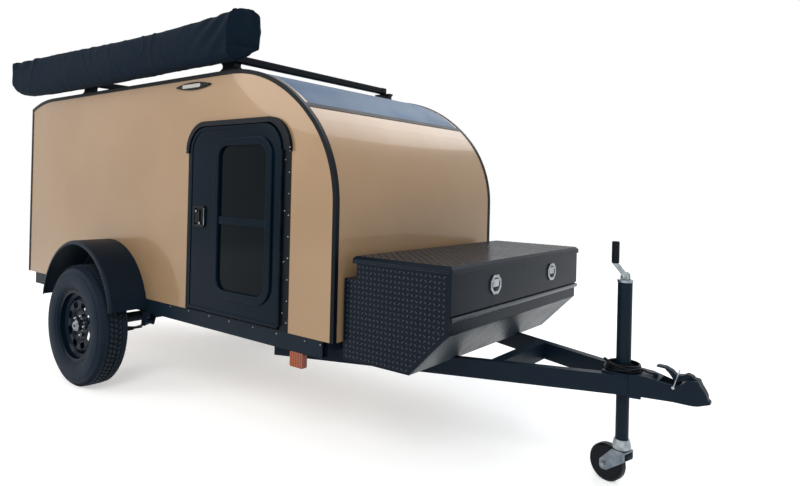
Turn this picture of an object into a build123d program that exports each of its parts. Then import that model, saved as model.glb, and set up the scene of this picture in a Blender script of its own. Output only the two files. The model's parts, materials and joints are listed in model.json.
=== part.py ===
from build123d import *
import math
import os

# Teardrop trailer. Millimetres, x forward from the axle, y to the left, z up from the ground.
# The finished pieces are moved along x at the end, so that the trailer's middle is at the origin.

# Body shell
body_front = 1817.0
body_tail = 1231.0
body_half = 647.5
body_low_z = 516.0
roof_z = 1735.0
wall_thick = 38.0
nose_radius = 566.0
nose_knee_z = 1091.0
nose_turn = 42.0
tail_radius = 970.0
tail_arc_run = 326.0
seam_turn = 48.7
seam_wide = 30.0
seam_proud = 2.0
floor_thick = 19.0
bulkhead_ahead = 471.0
bulkhead_thick = 19.0

# Edge trim along the side walls
trim_wide = 18.0
trim_proud = 3.0
trim_cap = 3.0
trim_lap = 18.0

# Side doors, set back from the nose and up from the sill
leaf_set_back = 341.0
leaf_wide = 702.0
leaf_sill = 11.0
leaf_tall = 935.0
leaf_corner = 125.0
leaf_proud = 12.0
leaf_thick = 38.0
leaf_gap = 7.0
bead_wide = 17.0
bead_rise = 3.5
bead_round = 2.0
lining_thick = 4.0
flange_thick = 2.5
flange_rear = 29.0
flange_front = 61.0
flange_top = 23.0
stop_wide = 12.0
rest_gap = 0.3
drip_over = 5.0
drip_wide = 25.0
drip_proud = 14.0
drip_tall = 160.0

# Door windows and latches, set in from the leaf's edges
window_rear_in = 211.0
window_front_in = 51.0
window_low_in = 85.0
window_top_in = 60.0
window_corner = 100.0
ring_wide = 41.0
ring_proud = 8.0
ring_round = 5.0
ring_sleeve = 8.0
bar_above_sill = 364.0
bar_tall = 38.0
bar_behind = 7.0
glass_thick = 5.0
glass_behind = 14.0
latch_rear_in = 42.0
latch_low_in = 423.0
latch_wide = 98.0
latch_tall = 111.0
latch_corner = 16.0
latch_proud = 10.0
latch_floor = 2.0
latch_grip_wide = 38.0
latch_margin = 14.0

# Hinges
knuckle_radius = 5.0
pin_radius = 2.5
pin_clearance = 0.1
hinge_edge = 8.0
hinge_end_in = 12.0
knuckle_count = 7
knuckle_space = 1.0
web_thick = 4.0

# Rear frame and hatch
hatch_side_in = 109.5
hatch_sill = 29.0
hatch_tall = 1065.0
hatch_corner = 60.0
hatch_thick = 36.0
hatch_proud = 6.0
handle_wide = 130.0
handle_tall = 100.0
handle_base = 8.0
handle_grip_wide = 90.0
handle_grip_tall = 26.0
handle_grip_proud = 24.0
handle_up = 90.0
tail_lamp_wide = 60.0
tail_lamp_tall = 165.0
tail_lamp_up = 184.0
tail_lamp_proud = 14.0

# Chassis
rail_tall = 75.0
rail_front_in = 62.0
rail_tail_in = 116.0
tube_wall = 3.0
cross_tall = 54.0
cross_wide = 50.0
cross_door_in = 717.0
cross_spring_out = 60.0
tongue_tall = 76.2
tongue_wide = 38.1
tongue_root_in = 413.0
tongue_root_gap = 3.5
tongue_run = 1399.0
tongue_tip_y = 82.0
tongue_end = 77.0
brace_ahead = 513.0
brace_wide = 50.0

# Running gear
tyre_radius = 344.0
tyre_wide = 178.0
tread_half = 36.0
wheel_stand_off = 159.5
rim_radius = 208.0
rim_seat = 190.5
rim_wide = 128.0
rim_steel = 4.0
well_deep = 22.0
disc_steel = 5.0
nut_face_out = 29.0
crest_out = 14.0
window_radius = 119.0
window_count = 8
axle_radius = 30.0
spindle_radius = 17.5
spindle_end = 45.0
hub_radius = 57.0
hub_thick = 9.0
hub_barrel = 34.0
hub_deep = 60.0
hub_cap_radius = 32.0
hub_cap_out = 40.0
spring_half = 345.0
spring_sag = 68.0
leaf_width = 45.0
leaf_height = 7.0
spring_pad = 6.0
eye_radius = 15.0
eye_bore = 7.0
bolt_clearance = 0.2
bolt_end = 6.0
hanger_plate = 5.0
hanger_gap = 1.0
hanger_half = 30.0
hanger_foot = 20.0
hanger_rake = 22.0
fender_radius = 431.0
fender_behind = 55.0
fender_above_axle = 51.0
fender_reach = 213.5
fender_thick = 3.0
fender_sweep = 161.0
fender_lip = 22.0
fender_round = 16.0

# Toolbox on the tongue
box_side_in = 43.5
box_gap = 17.0
box_long = 535.0
box_step = 67.0
box_drop = 12.0
box_shelf_down = 67.0
box_rise = 407.0
panel_low = 255.0
groove_tall = 7.0
groove_deep = 8.0
ridge_tall = 18.0
ridge_proud = 5.5
apron_in = 10.0
apron_low = 180.0
heel_in = 187.0
box_wall = 3.0
lid_back = 19.0
lid_over = 6.0
lid_tall = 31.0
lid_chamfer = 12.0
hinge_lift = 3.0
hinge_end_gap = 40.0
box_latch_y = 277.0
box_latch_down = 68.0
box_latch_wide = 87.0
box_latch_tall = 79.0
box_latch_corner = 24.0
box_latch_rim = 12.0
box_latch_proud = 7.0

# Coupler
coupler_reach = 325.0
coupler_lap = 30.0
coupler_skin = 5.0
coupler_lift = 4.0
coupler_sole = 6.0
coupler_sole_long = 43.0
coupler_rise = 12.0
ball_behind_nose = 66.0
ball_bore = 25.9
ball_deep = 32.0
ball_cheek = 36.0
nose_lip_half = 14.0
latch_half = 15.0
clip_ahead = 118.0
clip_long = 18.0
clip_half = 7.0
clip_above = 3.0

# Jack
jack_in = 72.0
jack_outer_radius = 28.5
jack_inner_radius = 25.5
jack_tall = 356.0
jack_wall = 2.9
jack_screw_room = 20.0
jack_plate_thick = 8.0
jack_plate_rear = 62.0
jack_plate_gap = 2.0
cap_tall = 10.0
cap_over = 2.0
knuckle_up = 15.0
cross_pin_radius = 12.0
cross_pin_long = 30.0
arm_thick = 8.0
arm_wide = 25.0
grip_back = 41.0
grip_up = 72.0
grip_tall = 89.0
grip_radius = 15.0
leg_tall = 380.0
collar_tall = 36.0
collar_top_radius = 30.0
collar_low_radius = 36.0
collar_step = 9.0
swivel_radius = 27.0
swivel_thick = 7.0
swivel_above = 4.0
king_radius = 8.0
caster_radius = 75.0
caster_wide = 46.0
caster_trail = 62.0
caster_heading = 165.0
caster_round = 10.0
cheek_thick = 4.0
cheek_corner = 12.0
caster_side_gap = 5.0
caster_bolt = 6.0

# Wiring lead, coiled round the jack
lead_radius = 4.0
lead_y = -8.0
lead_run = 20.0
lead_turns = (0.0, 22.0, 44.0)
coil_inner = 52.0
coil_outer = 80.0
coil_tall = 26.0
coil_ease = 6.0
plug_radius = 6.5
plug_long = 42.0
plug_place = (-54.0, -40.0)
plug_heading = 130.0

# Roof bars and awning
bar_set_back = 787.0
bar_spacing = 1480.0
bar_section = 38.0
bar_height = 93.0
bar_side_in = 42.5
bar_cap_long = 38.0
bar_cap_thick = 1.5
foot_long = 163.0
foot_waist = 97.0
foot_head = 120.0
foot_step = 6.0
foot_slope = 17.0
foot_side_in = 62.5
foot_wide = 40.0
awning_ahead = 170.0
awning_long = 2510.0
awning_round = 22.0
soft_gap = 0.3

# Lamps
side_lamp_long = 300.0
side_lamp_tall = 38.0
side_lamp_down = 53.0
side_lamp_proud = 14.0
side_lamp_floor = 4.0
side_lamp_round = 3.0
side_lamp_tip = 4.5
lens_back = 9.0
lens_long = 165.0
lens_tall = 20.0
marker_in = 220.0
marker_long = 86.0
marker_tall = 67.0
marker_thick = 24.0
marker_corner = 8.0

# Worked out from the sizes above
wall_in = body_half - wall_thick
rail_low_z = body_low_z - rail_tall
cross_low_z = body_low_z - cross_tall
leaf_front = body_front - leaf_set_back
leaf_rear = leaf_front - leaf_wide
leaf_low_z = body_low_z + leaf_sill
leaf_high_z = leaf_low_z + leaf_tall
leaf_out = body_half + leaf_proud
leaf_in = leaf_out - leaf_thick
panel_out = leaf_out - bead_rise
window_rear = leaf_rear + window_rear_in
window_front = leaf_front - window_front_in
window_low_z = leaf_low_z + window_low_in
window_high_z = leaf_high_z - window_top_in
hatch_half = wall_in - hatch_side_in
hatch_low_z = body_low_z + hatch_sill
hatch_high_z = hatch_low_z + hatch_tall
tongue_top_z = cross_low_z
tongue_low_z = tongue_top_z - tongue_tall
tongue_root_x = body_front - tongue_root_in
tongue_root_y = wall_in - tongue_root_gap
tongue_tip_x = tongue_root_x + tongue_run
tongue_end_x = tongue_tip_x + tongue_end
wheel_plane = body_half + wheel_stand_off
spring_y = body_half - wall_thick / 2
fender_out = body_half + fender_reach
fender_z = tyre_radius + fender_above_axle
box_half = body_half - box_side_in
box_rear = body_front + box_gap
box_neck = box_rear + box_step
box_front = box_rear + box_long
box_low_z = tongue_top_z - box_drop
box_rim_z = box_low_z + box_rise
coupler_nose = tongue_tip_x + coupler_reach
coupler_rear = tongue_end_x - coupler_lap
ball_x = coupler_nose - ball_behind_nose
jack_x = tongue_end_x - jack_in
jack_top_z = tongue_top_z + jack_tall
plate_top_z = tongue_top_z + jack_plate_thick
collar_low_z = 2 * caster_radius + swivel_above
bar_front_x = body_front - bar_set_back
bar_rear_x = bar_front_x - bar_spacing
bar_top_z = roof_z + bar_height
bar_half = body_half - bar_side_in
bar_low = bar_top_z - bar_section
awning_front = bar_front_x + awning_ahead
awning_tail = awning_front - awning_long
middle_x = (coupler_nose + awning_tail) / 2


def span_box(x, y, z):
    size = [high - low for low, high in (x, y, z)]
    centre = [(high + low) / 2 for low, high in (x, y, z)]
    return Pos(*centre) * Box(*size)


def side_slab(face, near, far):
    """Right-hand slab of an x-z face, between two distances from the centre plane."""
    return extrude(Plane.XZ.offset(near) * face, amount=far - near, dir=(0, -1, 0))


def across(face, near, far):
    """Slab of a y-z face along x."""
    return extrude(Plane.YZ.offset(near) * face, amount=far - near, dir=(1, 0, 0))


def upright(face, low, high):
    """Prism of a plan-view face between two heights."""
    return extrude(Pos(0, 0, low) * face, amount=high - low, dir=(0, 0, 1))


def both_sides(shape):
    return [shape, mirror(shape, about=Plane.XZ)]


def export(name, *shapes):
    placed = [Pos(-middle_x, 0, 0) * shape for shape in shapes]
    solids = [solid for shape in placed for solid in shape.solids()]
    piece = solids[0] if len(solids) == 1 else Compound(children=solids)
    export_step(piece, f"parts/{name}.step")


def polygon(points):
    """Face from corner points that may run either way round."""
    turns = [a[0] * b[1] - b[0] * a[1] for a, b in zip(points, points[1:] + points[:1])]
    ordered = points if sum(turns) > 0 else points[::-1]
    return Polygon(*ordered, align=None)


def mirrored(points):
    """Closed outline from its right half: the same points again with their first coordinate turned."""
    return polygon(points + [(-a, b) for a, b in reversed(points)])


def arc_point(centre, radius, degrees):
    turn = math.radians(degrees)
    return (centre[0] + radius * math.cos(turn), centre[1] + radius * math.sin(turn))


def arc(centre, radius, start, end):
    turns = (start, (start + end) / 2, end)
    return ThreePointArc(*[arc_point(centre, radius, turn) for turn in turns])


def brow():
    """Centre and radius of the upper nose arc, which runs on from the lower arc into the flat roof."""
    low_centre = (body_front - nose_radius, nose_knee_z)
    knee = arc_point(low_centre, nose_radius, nose_turn)
    radius = (roof_z - knee[1]) / (1 - math.sin(math.radians(nose_turn)))
    return arc_point(knee, -radius, nose_turn), radius


def tail_corner_z(grow=0.0):
    run = tail_arc_run + grow
    return roof_z - tail_radius + math.sqrt((tail_radius + grow) ** 2 - run**2)


def body_outline(grow=0.0):
    """Side view of the shell, with its front, roof and tail moved outwards by grow."""
    low_centre = (body_front - nose_radius, nose_knee_z)
    high_centre, high_radius = brow()
    tail_centre = (tail_arc_run - body_tail, roof_z - tail_radius)
    tail_turn = 90 + math.degrees(math.asin((tail_arc_run + grow) / (tail_radius + grow)))
    front_low = (body_front + grow, body_low_z)
    tail_low = (-body_tail - grow, body_low_z)
    roof_front = (high_centre[0], roof_z + grow)
    roof_rear = (tail_centre[0], roof_z + grow)
    edges = [
        Line(front_low, (body_front + grow, nose_knee_z)),
        arc(low_centre, nose_radius + grow, 0, nose_turn),
        arc(high_centre, high_radius + grow, nose_turn, 90),
        Line(roof_front, roof_rear),
        arc(tail_centre, tail_radius + grow, 90, tail_turn),
        Line((-body_tail - grow, tail_corner_z(grow)), tail_low),
        Line(tail_low, front_low),
    ]
    return make_face(edges)


def door_outline(grow=0.0):
    """Door shape with rounded upper corners, grown outwards all round."""
    centre = Pos((leaf_front + leaf_rear) / 2, (leaf_high_z + leaf_low_z) / 2)
    shape = centre * Rectangle(leaf_wide + 2 * grow, leaf_tall + 2 * grow)
    return fillet(shape.vertices().group_by(Axis.Y)[-1], leaf_corner + grow)


def flange_outline(grow=0.0):
    """Outer edge of the door frame's flange, which also carries the hinge strip."""
    low = (leaf_rear - flange_rear - grow, body_low_z)
    high = (leaf_front + flange_front + grow, leaf_high_z + flange_top + grow)
    centre = Pos((low[0] + high[0]) / 2, (low[1] + high[1]) / 2)
    shape = centre * Rectangle(high[0] - low[0], high[1] - low[1])
    return fillet(shape.vertices().group_by(Axis.Y)[-1], leaf_corner + flange_top + grow)


def window_outline(inset=0.0):
    wide = window_front - window_rear - 2 * inset
    tall = window_high_z - window_low_z - 2 * inset
    centre = Pos((window_front + window_rear) / 2, (window_high_z + window_low_z) / 2)
    return centre * RectangleRounded(wide, tall, window_corner - inset)


def hatch_outline(grow=0.0):
    centre = Pos(0, (hatch_high_z + hatch_low_z) / 2)
    return centre * RectangleRounded(2 * hatch_half + 2 * grow, hatch_tall + 2 * grow, hatch_corner + grow)


def piano_hinge(length, fixed_web, moving_web):
    """Interleaved knuckles round one pin along local z: the fixed half with the pin, and the moving half."""
    step = length / knuckle_count
    fixed = Cylinder(pin_radius, length, align=(Align.CENTER, Align.CENTER, Align.MIN))
    moving = []
    for index in range(knuckle_count):
        low = index * step
        high = low + step - (knuckle_space if index < knuckle_count - 1 else 0)
        knuckle = Pos(0, 0, (low + high) / 2) * Cylinder(knuckle_radius, high - low)
        web = fixed_web if index % 2 == 0 else moving_web
        knuckle += span_box(web[0], web[1], (low, high))
        if index % 2 == 0:
            fixed += knuckle
        else:
            bore = Pos(0, 0, (low + high) / 2) * Cylinder(pin_radius + pin_clearance, 2 * step)
            moving.append(knuckle - bore)
    return fixed, moving


def make_chassis():
    outer = (wall_in, body_half)
    inner = (wall_in + tube_wall, body_half - tube_wall)
    run = (rail_tail_in - body_tail, body_front - rail_front_in)
    rail = span_box(run, outer, (rail_low_z, body_low_z))
    rail -= span_box(run, inner, (rail_low_z + tube_wall, body_low_z - tube_wall))
    export("side_rails", *both_sides(rail))

    spring_cross = spring_half + cross_spring_out
    places = (run[0] + cross_wide / 2, -spring_cross, spring_cross, body_front - cross_door_in, run[1] - cross_wide / 2)
    tubes = []
    for tube_x in places:
        x = (tube_x - cross_wide / 2, tube_x + cross_wide / 2)
        tube = span_box(x, (-wall_in, wall_in), (cross_low_z, body_low_z))
        hollow_x = (x[0] + tube_wall, x[1] - tube_wall)
        hollow_z = (cross_low_z + tube_wall, body_low_z - tube_wall)
        tubes.append(tube - span_box(hollow_x, (-wall_in, wall_in), hollow_z))
    export("cross_tubes", *tubes)


def tongue_slope():
    return (tongue_root_y - tongue_tip_y) / tongue_run


def tongue_edge(x):
    return tongue_root_y - tongue_slope() * (x - tongue_root_x)


def tongue_inset(x, depth):
    """Distance from the centre plane to a line inside the left rail, set in from its outer face by depth."""
    return tongue_edge(x) - depth * math.sqrt(1 + tongue_slope() ** 2)


def tongue_plan(near, far):
    ends = (tongue_root_x, tongue_end_x)
    points = [(x, tongue_inset(x, near)) for x in ends]
    points += [(x, tongue_inset(x, far)) for x in reversed(ends)]
    return polygon(points)


def make_tongue():
    rail = upright(tongue_plan(0, tongue_wide), tongue_low_z, tongue_top_z)
    hollow = tongue_plan(tube_wall, tongue_wide - tube_wall)
    rail -= upright(hollow, tongue_low_z + tube_wall, tongue_top_z - tube_wall)
    export("tongue_rails", *both_sides(rail))

    brace_x = (body_front + brace_ahead, body_front + brace_ahead + brace_wide)
    half = [tongue_inset(x, tongue_wide) for x in brace_x]
    corners = [(brace_x[0], half[0]), (brace_x[1], half[1])]
    corners += [(x, -y) for x, y in reversed(corners)]
    brace = upright(polygon(corners), tongue_low_z, tongue_top_z)
    bore = (brace_x[0] + tube_wall, brace_x[1] - tube_wall)
    brace -= span_box(bore, (-half[0], half[0]), (tongue_low_z + tube_wall, tongue_top_z - tube_wall))
    export("tongue_brace", brace)


def make_shell():
    wall_face = body_outline() - door_outline(leaf_gap + lining_thick)
    sill = Pos((leaf_front + leaf_rear) / 2, body_low_z)
    wall_face -= sill * Rectangle(leaf_wide + 2 * (leaf_gap + lining_thick), 4 * leaf_sill)
    right = side_slab(wall_face, wall_in, body_half)
    export("wall_right", right)
    export("wall_left", mirror(right, about=Plane.XZ))

    shell = body_outline() - body_outline(-wall_thick)
    centre, radius = brow()
    reach = 2 * radius
    ahead = [centre, arc_point(centre, reach, seam_turn), (centre[0] + reach, -reach), (centre[0], -reach)]
    front_side = polygon(ahead)
    inner_corner = tail_corner_z(-wall_thick)
    tail_centre = Pos(-body_tail, (body_low_z + inner_corner) / 2)
    tail_side = tail_centre * Rectangle(2 * wall_thick, inner_corner - body_low_z)
    export("front_panel", side_slab(shell & front_side, -wall_in, wall_in))
    export("roof_panel", side_slab(shell - front_side - tail_side, -wall_in, wall_in))

    half_turn = math.degrees(seam_wide / 2 / radius)
    wedge = [centre]
    wedge += [arc_point(centre, reach, seam_turn + turn) for turn in (-half_turn, half_turn)]
    strip = (body_outline(seam_proud) - body_outline()) & polygon(wedge)
    seam_half = body_half - trim_lap
    export("seam_strip", side_slab(strip, -seam_half, seam_half))

    band = side_slab(body_outline(trim_cap) - body_outline(-trim_wide), body_half, body_half + trim_proud)
    cap = side_slab(body_outline(trim_cap) - body_outline(), body_half - trim_lap, body_half)
    export("edge_trims", *both_sides(band + cap))

    floor_x = (wall_thick - body_tail, body_front - wall_thick)
    floor_top = body_low_z + floor_thick
    export("floor", span_box(floor_x, (-wall_in, wall_in), (body_low_z, floor_top)))
    inside = Pos(bulkhead_ahead - body_tail, (roof_z + floor_top) / 2)
    slice_face = inside * Rectangle(bulkhead_thick, roof_z - floor_top)
    export("galley_bulkhead", side_slab(body_outline(-wall_thick) & slice_face, -wall_in, wall_in))


def make_door_frames(spot, fixed_hinge):
    opening = door_outline(leaf_gap)
    lining = side_slab(door_outline(leaf_gap + lining_thick) - opening, wall_in, body_half)
    frame = lining + side_slab(flange_outline() - opening, body_half, body_half + flange_thick)
    frame += side_slab(opening - door_outline(-stop_wide), wall_in, leaf_in - rest_gap)
    frame += spot * fixed_hinge
    export("door_frames", *both_sides(frame))

    band = flange_outline(drip_over) - flange_outline(drip_over - drip_wide)
    over = side_slab(flange_outline(drip_over) - flange_outline(), body_half, body_half + flange_thick)
    drip = over + side_slab(band, body_half + flange_thick, body_half + flange_thick + drip_proud)
    top_z = leaf_high_z + flange_top + drip_over
    keep_z = (top_z - drip_tall, top_z)
    keep_x = (leaf_rear - leaf_wide, leaf_front + leaf_wide)
    drip &= span_box(keep_x, (-body_half - leaf_wide, -body_half), keep_z)
    export("drip_caps", *both_sides(drip))


def door_window():
    """Outer and inner window rings, and the pane between them."""
    ring_out = leaf_out + ring_proud
    glass_y = (ring_out - glass_behind - glass_thick, ring_out - glass_behind)
    hole = window_outline(ring_wide - ring_sleeve)
    clear = window_outline(ring_wide)
    outer_ring = side_slab(window_outline() - clear, panel_out, ring_out)
    outer_ring = fillet(outer_ring.faces().sort_by(Axis.Y)[0].edges(), ring_round)
    outer_ring += side_slab(hole - clear, glass_y[1], panel_out)
    bar_low_z = window_low_z + bar_above_sill
    mid_bar = Pos((window_front + window_rear) / 2, bar_low_z + bar_tall / 2)
    mid_bar *= Rectangle(window_front - window_rear - 2 * ring_wide, bar_tall)
    outer_ring += side_slab(mid_bar, glass_y[1], ring_out - bar_behind)
    inner_ring = side_slab(window_outline() - clear, leaf_in - ring_proud, leaf_in)
    inner_ring += side_slab(hole - clear, leaf_in, glass_y[0])
    return outer_ring, inner_ring, side_slab(hole, *glass_y), hole


def door_latch():
    """Paddle latch: a bezel round a pocket, with the paddle standing in the pocket's rear part."""
    centre = Pos(leaf_rear + latch_rear_in + latch_wide / 2, leaf_low_z + latch_low_in + latch_tall / 2)
    face_y = panel_out + latch_proud
    latch = side_slab(centre * RectangleRounded(latch_wide, latch_tall, latch_corner), panel_out, face_y)
    latch = fillet(latch.faces().sort_by(Axis.Y)[0].edges(), latch_floor)
    pocket = (latch_wide - 2 * latch_margin, latch_tall - 2 * latch_margin)
    pocket_face = centre * RectangleRounded(*pocket, latch_corner / 2)
    latch -= side_slab(pocket_face, panel_out + latch_floor, face_y)
    paddle = centre * Pos((latch_grip_wide - pocket[0]) / 2 + latch_floor, 0)
    paddle *= RectangleRounded(latch_grip_wide, pocket[1] - latch_margin, latch_corner / 4)
    return latch + side_slab(paddle, panel_out + latch_floor, face_y - latch_floor)


def make_doors():
    hinge_low = leaf_low_z + hinge_end_in
    hinge_high = leaf_high_z - leaf_corner
    drop = leaf_out - body_half - flange_thick
    fixed_web = ((0, knuckle_radius), (-drop, 0))
    moving_web = ((-hinge_edge, 0), (-web_thick, 0))
    fixed, moving = piano_hinge(hinge_high - hinge_low, fixed_web, moving_web)
    spot = Plane((leaf_front + hinge_edge, -leaf_out, hinge_high), x_dir=(1, 0, 0), z_dir=(0, 0, -1))
    make_door_frames(spot, fixed)

    outer_ring, inner_ring, glass, hole = door_window()
    leaf = side_slab(door_outline(), leaf_in, leaf_out)
    leaf = fillet(leaf.faces().sort_by(Axis.Y)[0].edges(), bead_round)
    leaf -= side_slab(door_outline(-bead_wide), panel_out, leaf_out)
    leaf -= side_slab(hole, leaf_in, leaf_out)
    for knuckle in moving:
        leaf += spot * knuckle
    latch = door_latch()

    for side, turn in (("right", lambda piece: piece), ("left", lambda piece: mirror(piece, about=Plane.XZ))):
        export(f"door_leaf_{side}", turn(leaf))
        export(f"door_glass_{side}", turn(glass))
        export(f"window_rings_{side}", turn(outer_ring), turn(inner_ring))
        export(f"door_latch_{side}", turn(latch))


def make_rear():
    back = -body_tail
    panel = span_box((back, back + wall_thick), (-wall_in, wall_in), (body_low_z, tail_corner_z(-wall_thick)))
    hatch_out = back - hatch_proud
    hatch_in = hatch_out + hatch_thick
    panel -= across(hatch_outline(leaf_gap), back, hatch_in + rest_gap)
    panel -= across(hatch_outline(-stop_wide), back, back + wall_thick)

    length = 2 * (hatch_half - hatch_corner)
    fixed_web = ((0, knuckle_radius), (-hatch_proud, 0))
    moving_web = ((-hinge_edge, 0), (-web_thick, 0))
    fixed, moving = piano_hinge(length, fixed_web, moving_web)
    start = (hatch_out, length / 2, hatch_high_z + hinge_edge)
    spot = Plane(start, x_dir=(0, 0, 1), z_dir=(0, -1, 0))
    export("rear_frame", panel + spot * fixed)

    hatch = across(hatch_outline(), hatch_out, hatch_in)
    for knuckle in moving:
        hatch += spot * knuckle
    export("hatch", hatch)
    centre = Pos(0, hatch_low_z + handle_up)
    plate = centre * RectangleRounded(handle_wide, handle_tall, handle_base)
    handle = across(plate, hatch_out - handle_base, hatch_out)
    grip = centre * RectangleRounded(handle_grip_wide, handle_grip_tall, handle_base)
    handle += across(grip, hatch_out - handle_grip_proud, hatch_out - handle_base)
    export("hatch_latch", handle)

    lamp_y = (hatch_half + leaf_gap + wall_in) / 2
    lamp_centre = Pos(lamp_y, body_low_z + tail_lamp_up)
    lamp_face = lamp_centre * SlotOverall(tail_lamp_tall, tail_lamp_wide, rotation=90)
    export("tail_lamps", *both_sides(across(lamp_face, back - tail_lamp_proud, back)))


def pointed_oval(long, tall, tip):
    """Two shallow arcs that meet in rounded tips, long from tip to tip."""
    half_angle = 2 * math.atan(tall / long)
    reach = long / 2 + tip / math.sin(half_angle) - tip
    ends = ((-reach, 0), (reach, 0))
    arcs = [ThreePointArc(ends[0], (0, rise), ends[1]) for rise in (tall / 2, -tall / 2)]
    face = make_face(arcs)
    return fillet(face.vertices(), tip)


def make_side_lamps():
    centre = Pos(leaf_rear, roof_z - side_lamp_down)
    bezel_face = centre * pointed_oval(side_lamp_long, side_lamp_tall, side_lamp_tip)
    lens_face = centre * Pos(-lens_back, 0) * SlotOverall(lens_long, lens_tall)
    lens_y = body_half + side_lamp_floor
    bezel = side_slab(bezel_face, body_half, body_half + side_lamp_proud)
    bezel = fillet(bezel.faces().sort_by(Axis.Y)[0].edges(), side_lamp_round)
    bezel -= side_slab(lens_face, lens_y, body_half + side_lamp_proud)
    export("side_lamp_bezels", *both_sides(bezel))
    lens = side_slab(lens_face, lens_y, body_half + side_lamp_proud - side_lamp_floor / 2)
    export("side_lamp_lenses", *both_sides(lens))

    marker_centre = Pos(body_front - marker_in, rail_low_z - marker_tall / 2)
    marker = marker_centre * RectangleRounded(marker_long, marker_tall, marker_corner)
    block = side_slab(marker, body_half - marker_thick, body_half)
    export("side_markers", *both_sides(block))


def leaf_arc(top_z, half, drop):
    """One spring leaf in side view: an arc band that rises from the axle to its two ends."""
    radius = (spring_half**2 + spring_sag**2) / (2 * spring_sag)
    centre = (0, top_z + radius)
    reach = math.degrees(math.asin(half / (radius + drop)))
    outer = radius + drop + leaf_height
    inner = radius + drop
    edges = [
        arc(centre, outer, 270 - reach, 270 + reach),
        Line(arc_point(centre, outer, 270 + reach), arc_point(centre, inner, 270 + reach)),
        arc(centre, inner, 270 + reach, 270 - reach),
        Line(arc_point(centre, inner, 270 - reach), arc_point(centre, outer, 270 - reach)),
    ]
    return make_face(edges)


def make_running_gear():
    beam = Rot(90, 0, 0) * Cylinder(axle_radius, 2 * (spring_y + leaf_width))
    beam += Rot(90, 0, 0) * Cylinder(spindle_radius, 2 * (wheel_plane + spindle_end))
    export("axle_beam", Pos(0, 0, tyre_radius) * beam)

    leaf_top = tyre_radius - axle_radius - spring_pad
    near = spring_y - leaf_width / 2
    far = spring_y + leaf_width / 2
    stack = leaf_arc(leaf_top, spring_half, 0)
    for share, layer in ((0.72, 1), (0.45, 2)):
        stack += leaf_arc(leaf_top, spring_half * share, layer * leaf_height)
    eye_z = leaf_top + spring_sag + eye_radius - leaf_height
    for eye_x in (-spring_half, spring_half):
        stack += Pos(eye_x, eye_z) * Circle(eye_radius)
    for eye_x in (-spring_half, spring_half):
        stack -= Pos(eye_x, eye_z) * Circle(eye_bore + bolt_clearance)
    spring = side_slab(stack, near, far)
    pad_half = 1.5 * axle_radius
    pad = span_box((-pad_half, pad_half), (-far, -near), (leaf_top, tyre_radius - axle_radius / 2))
    pad -= Pos(0, -spring_y, tyre_radius) * Rot(90, 0, 0) * Cylinder(axle_radius, 2 * leaf_width)
    export("leaf_springs", *both_sides(spring + pad))

    inner = near - hanger_gap
    outer = far + hanger_gap
    hangers = []
    for eye_x, rake in ((-spring_half, -hanger_rake), (spring_half, hanger_rake)):
        top_x = (eye_x + rake - hanger_half, eye_x + rake + hanger_half)
        foot_z = eye_z - eye_radius - hanger_plate
        outline = [(eye_x - hanger_foot, foot_z), (eye_x + hanger_foot, foot_z)]
        outline += [(top_x[1], rail_low_z), (top_x[0], rail_low_z)]
        hanger = side_slab(polygon(outline), inner - hanger_plate, inner)
        hanger += side_slab(polygon(outline), outer, outer + hanger_plate)
        bridge_y = (-outer - hanger_plate, hanger_plate - inner)
        hanger += span_box(top_x, bridge_y, (rail_low_z - hanger_plate, rail_low_z))
        ends = (inner - hanger_plate - bolt_end, outer + hanger_plate + bolt_end)
        hangers += both_sides(hanger + side_slab(Pos(eye_x, eye_z) * Circle(eye_bore), *ends))
    export("spring_hangers", *hangers)


def make_fenders():
    thick = fender_thick
    out = fender_out
    top = fender_radius
    low = top - fender_lip
    bend = (out - fender_round, top - fender_round)
    section = make_face([
        Line((body_half, low), (body_half, top)),
        Line((body_half, top), (bend[0], top)),
        arc(bend, fender_round, 90, 0),
        Line((out, bend[1]), (out, low)),
        Line((out, low), (out - thick, low)),
        Line((out - thick, low), (out - thick, bend[1])),
        arc(bend, fender_round - thick, 0, 90),
        Line((bend[0], top - thick), (body_half + thick, top - thick)),
        Line((body_half + thick, top - thick), (body_half + thick, low)),
        Line((body_half + thick, low), (body_half, low)),
    ])
    sweep = revolve(Plane.YZ * section, axis=Axis.Y, revolution_arc=fender_sweep)
    left = Pos(-fender_behind, 0, fender_z) * Rot(0, -fender_sweep / 2, 0) * sweep
    export("fenders", *both_sides(left))


def tyre_section():
    """Flat tread, rounded shoulders and bulging flanks, as distances from the wheel plane and from the axle."""
    wide = tyre_wide / 2
    bead = rim_wide / 2 - rest_gap
    seat = rim_seat + rest_gap
    flank = tyre_radius - rim_seat
    outer = [(bead, seat), (bead, rim_radius - rim_steel), (bead + 8, rim_radius + 3), (wide, seat + 0.46 * flank)]
    outer += [(wide - 3, tyre_radius - 0.29 * flank), (wide - 32, tyre_radius - 0.04 * flank), (tread_half, tyre_radius)]
    inner = [(bead - 13, seat), (wide - 12, seat + 0.46 * flank), (wide - 36, tyre_radius - 0.14 * flank)]
    loop = outer + [(-a, r) for a, r in reversed(outer)]
    loop += [(-a, r) for a, r in inner] + list(reversed(inner))
    return polygon(loop)


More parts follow.
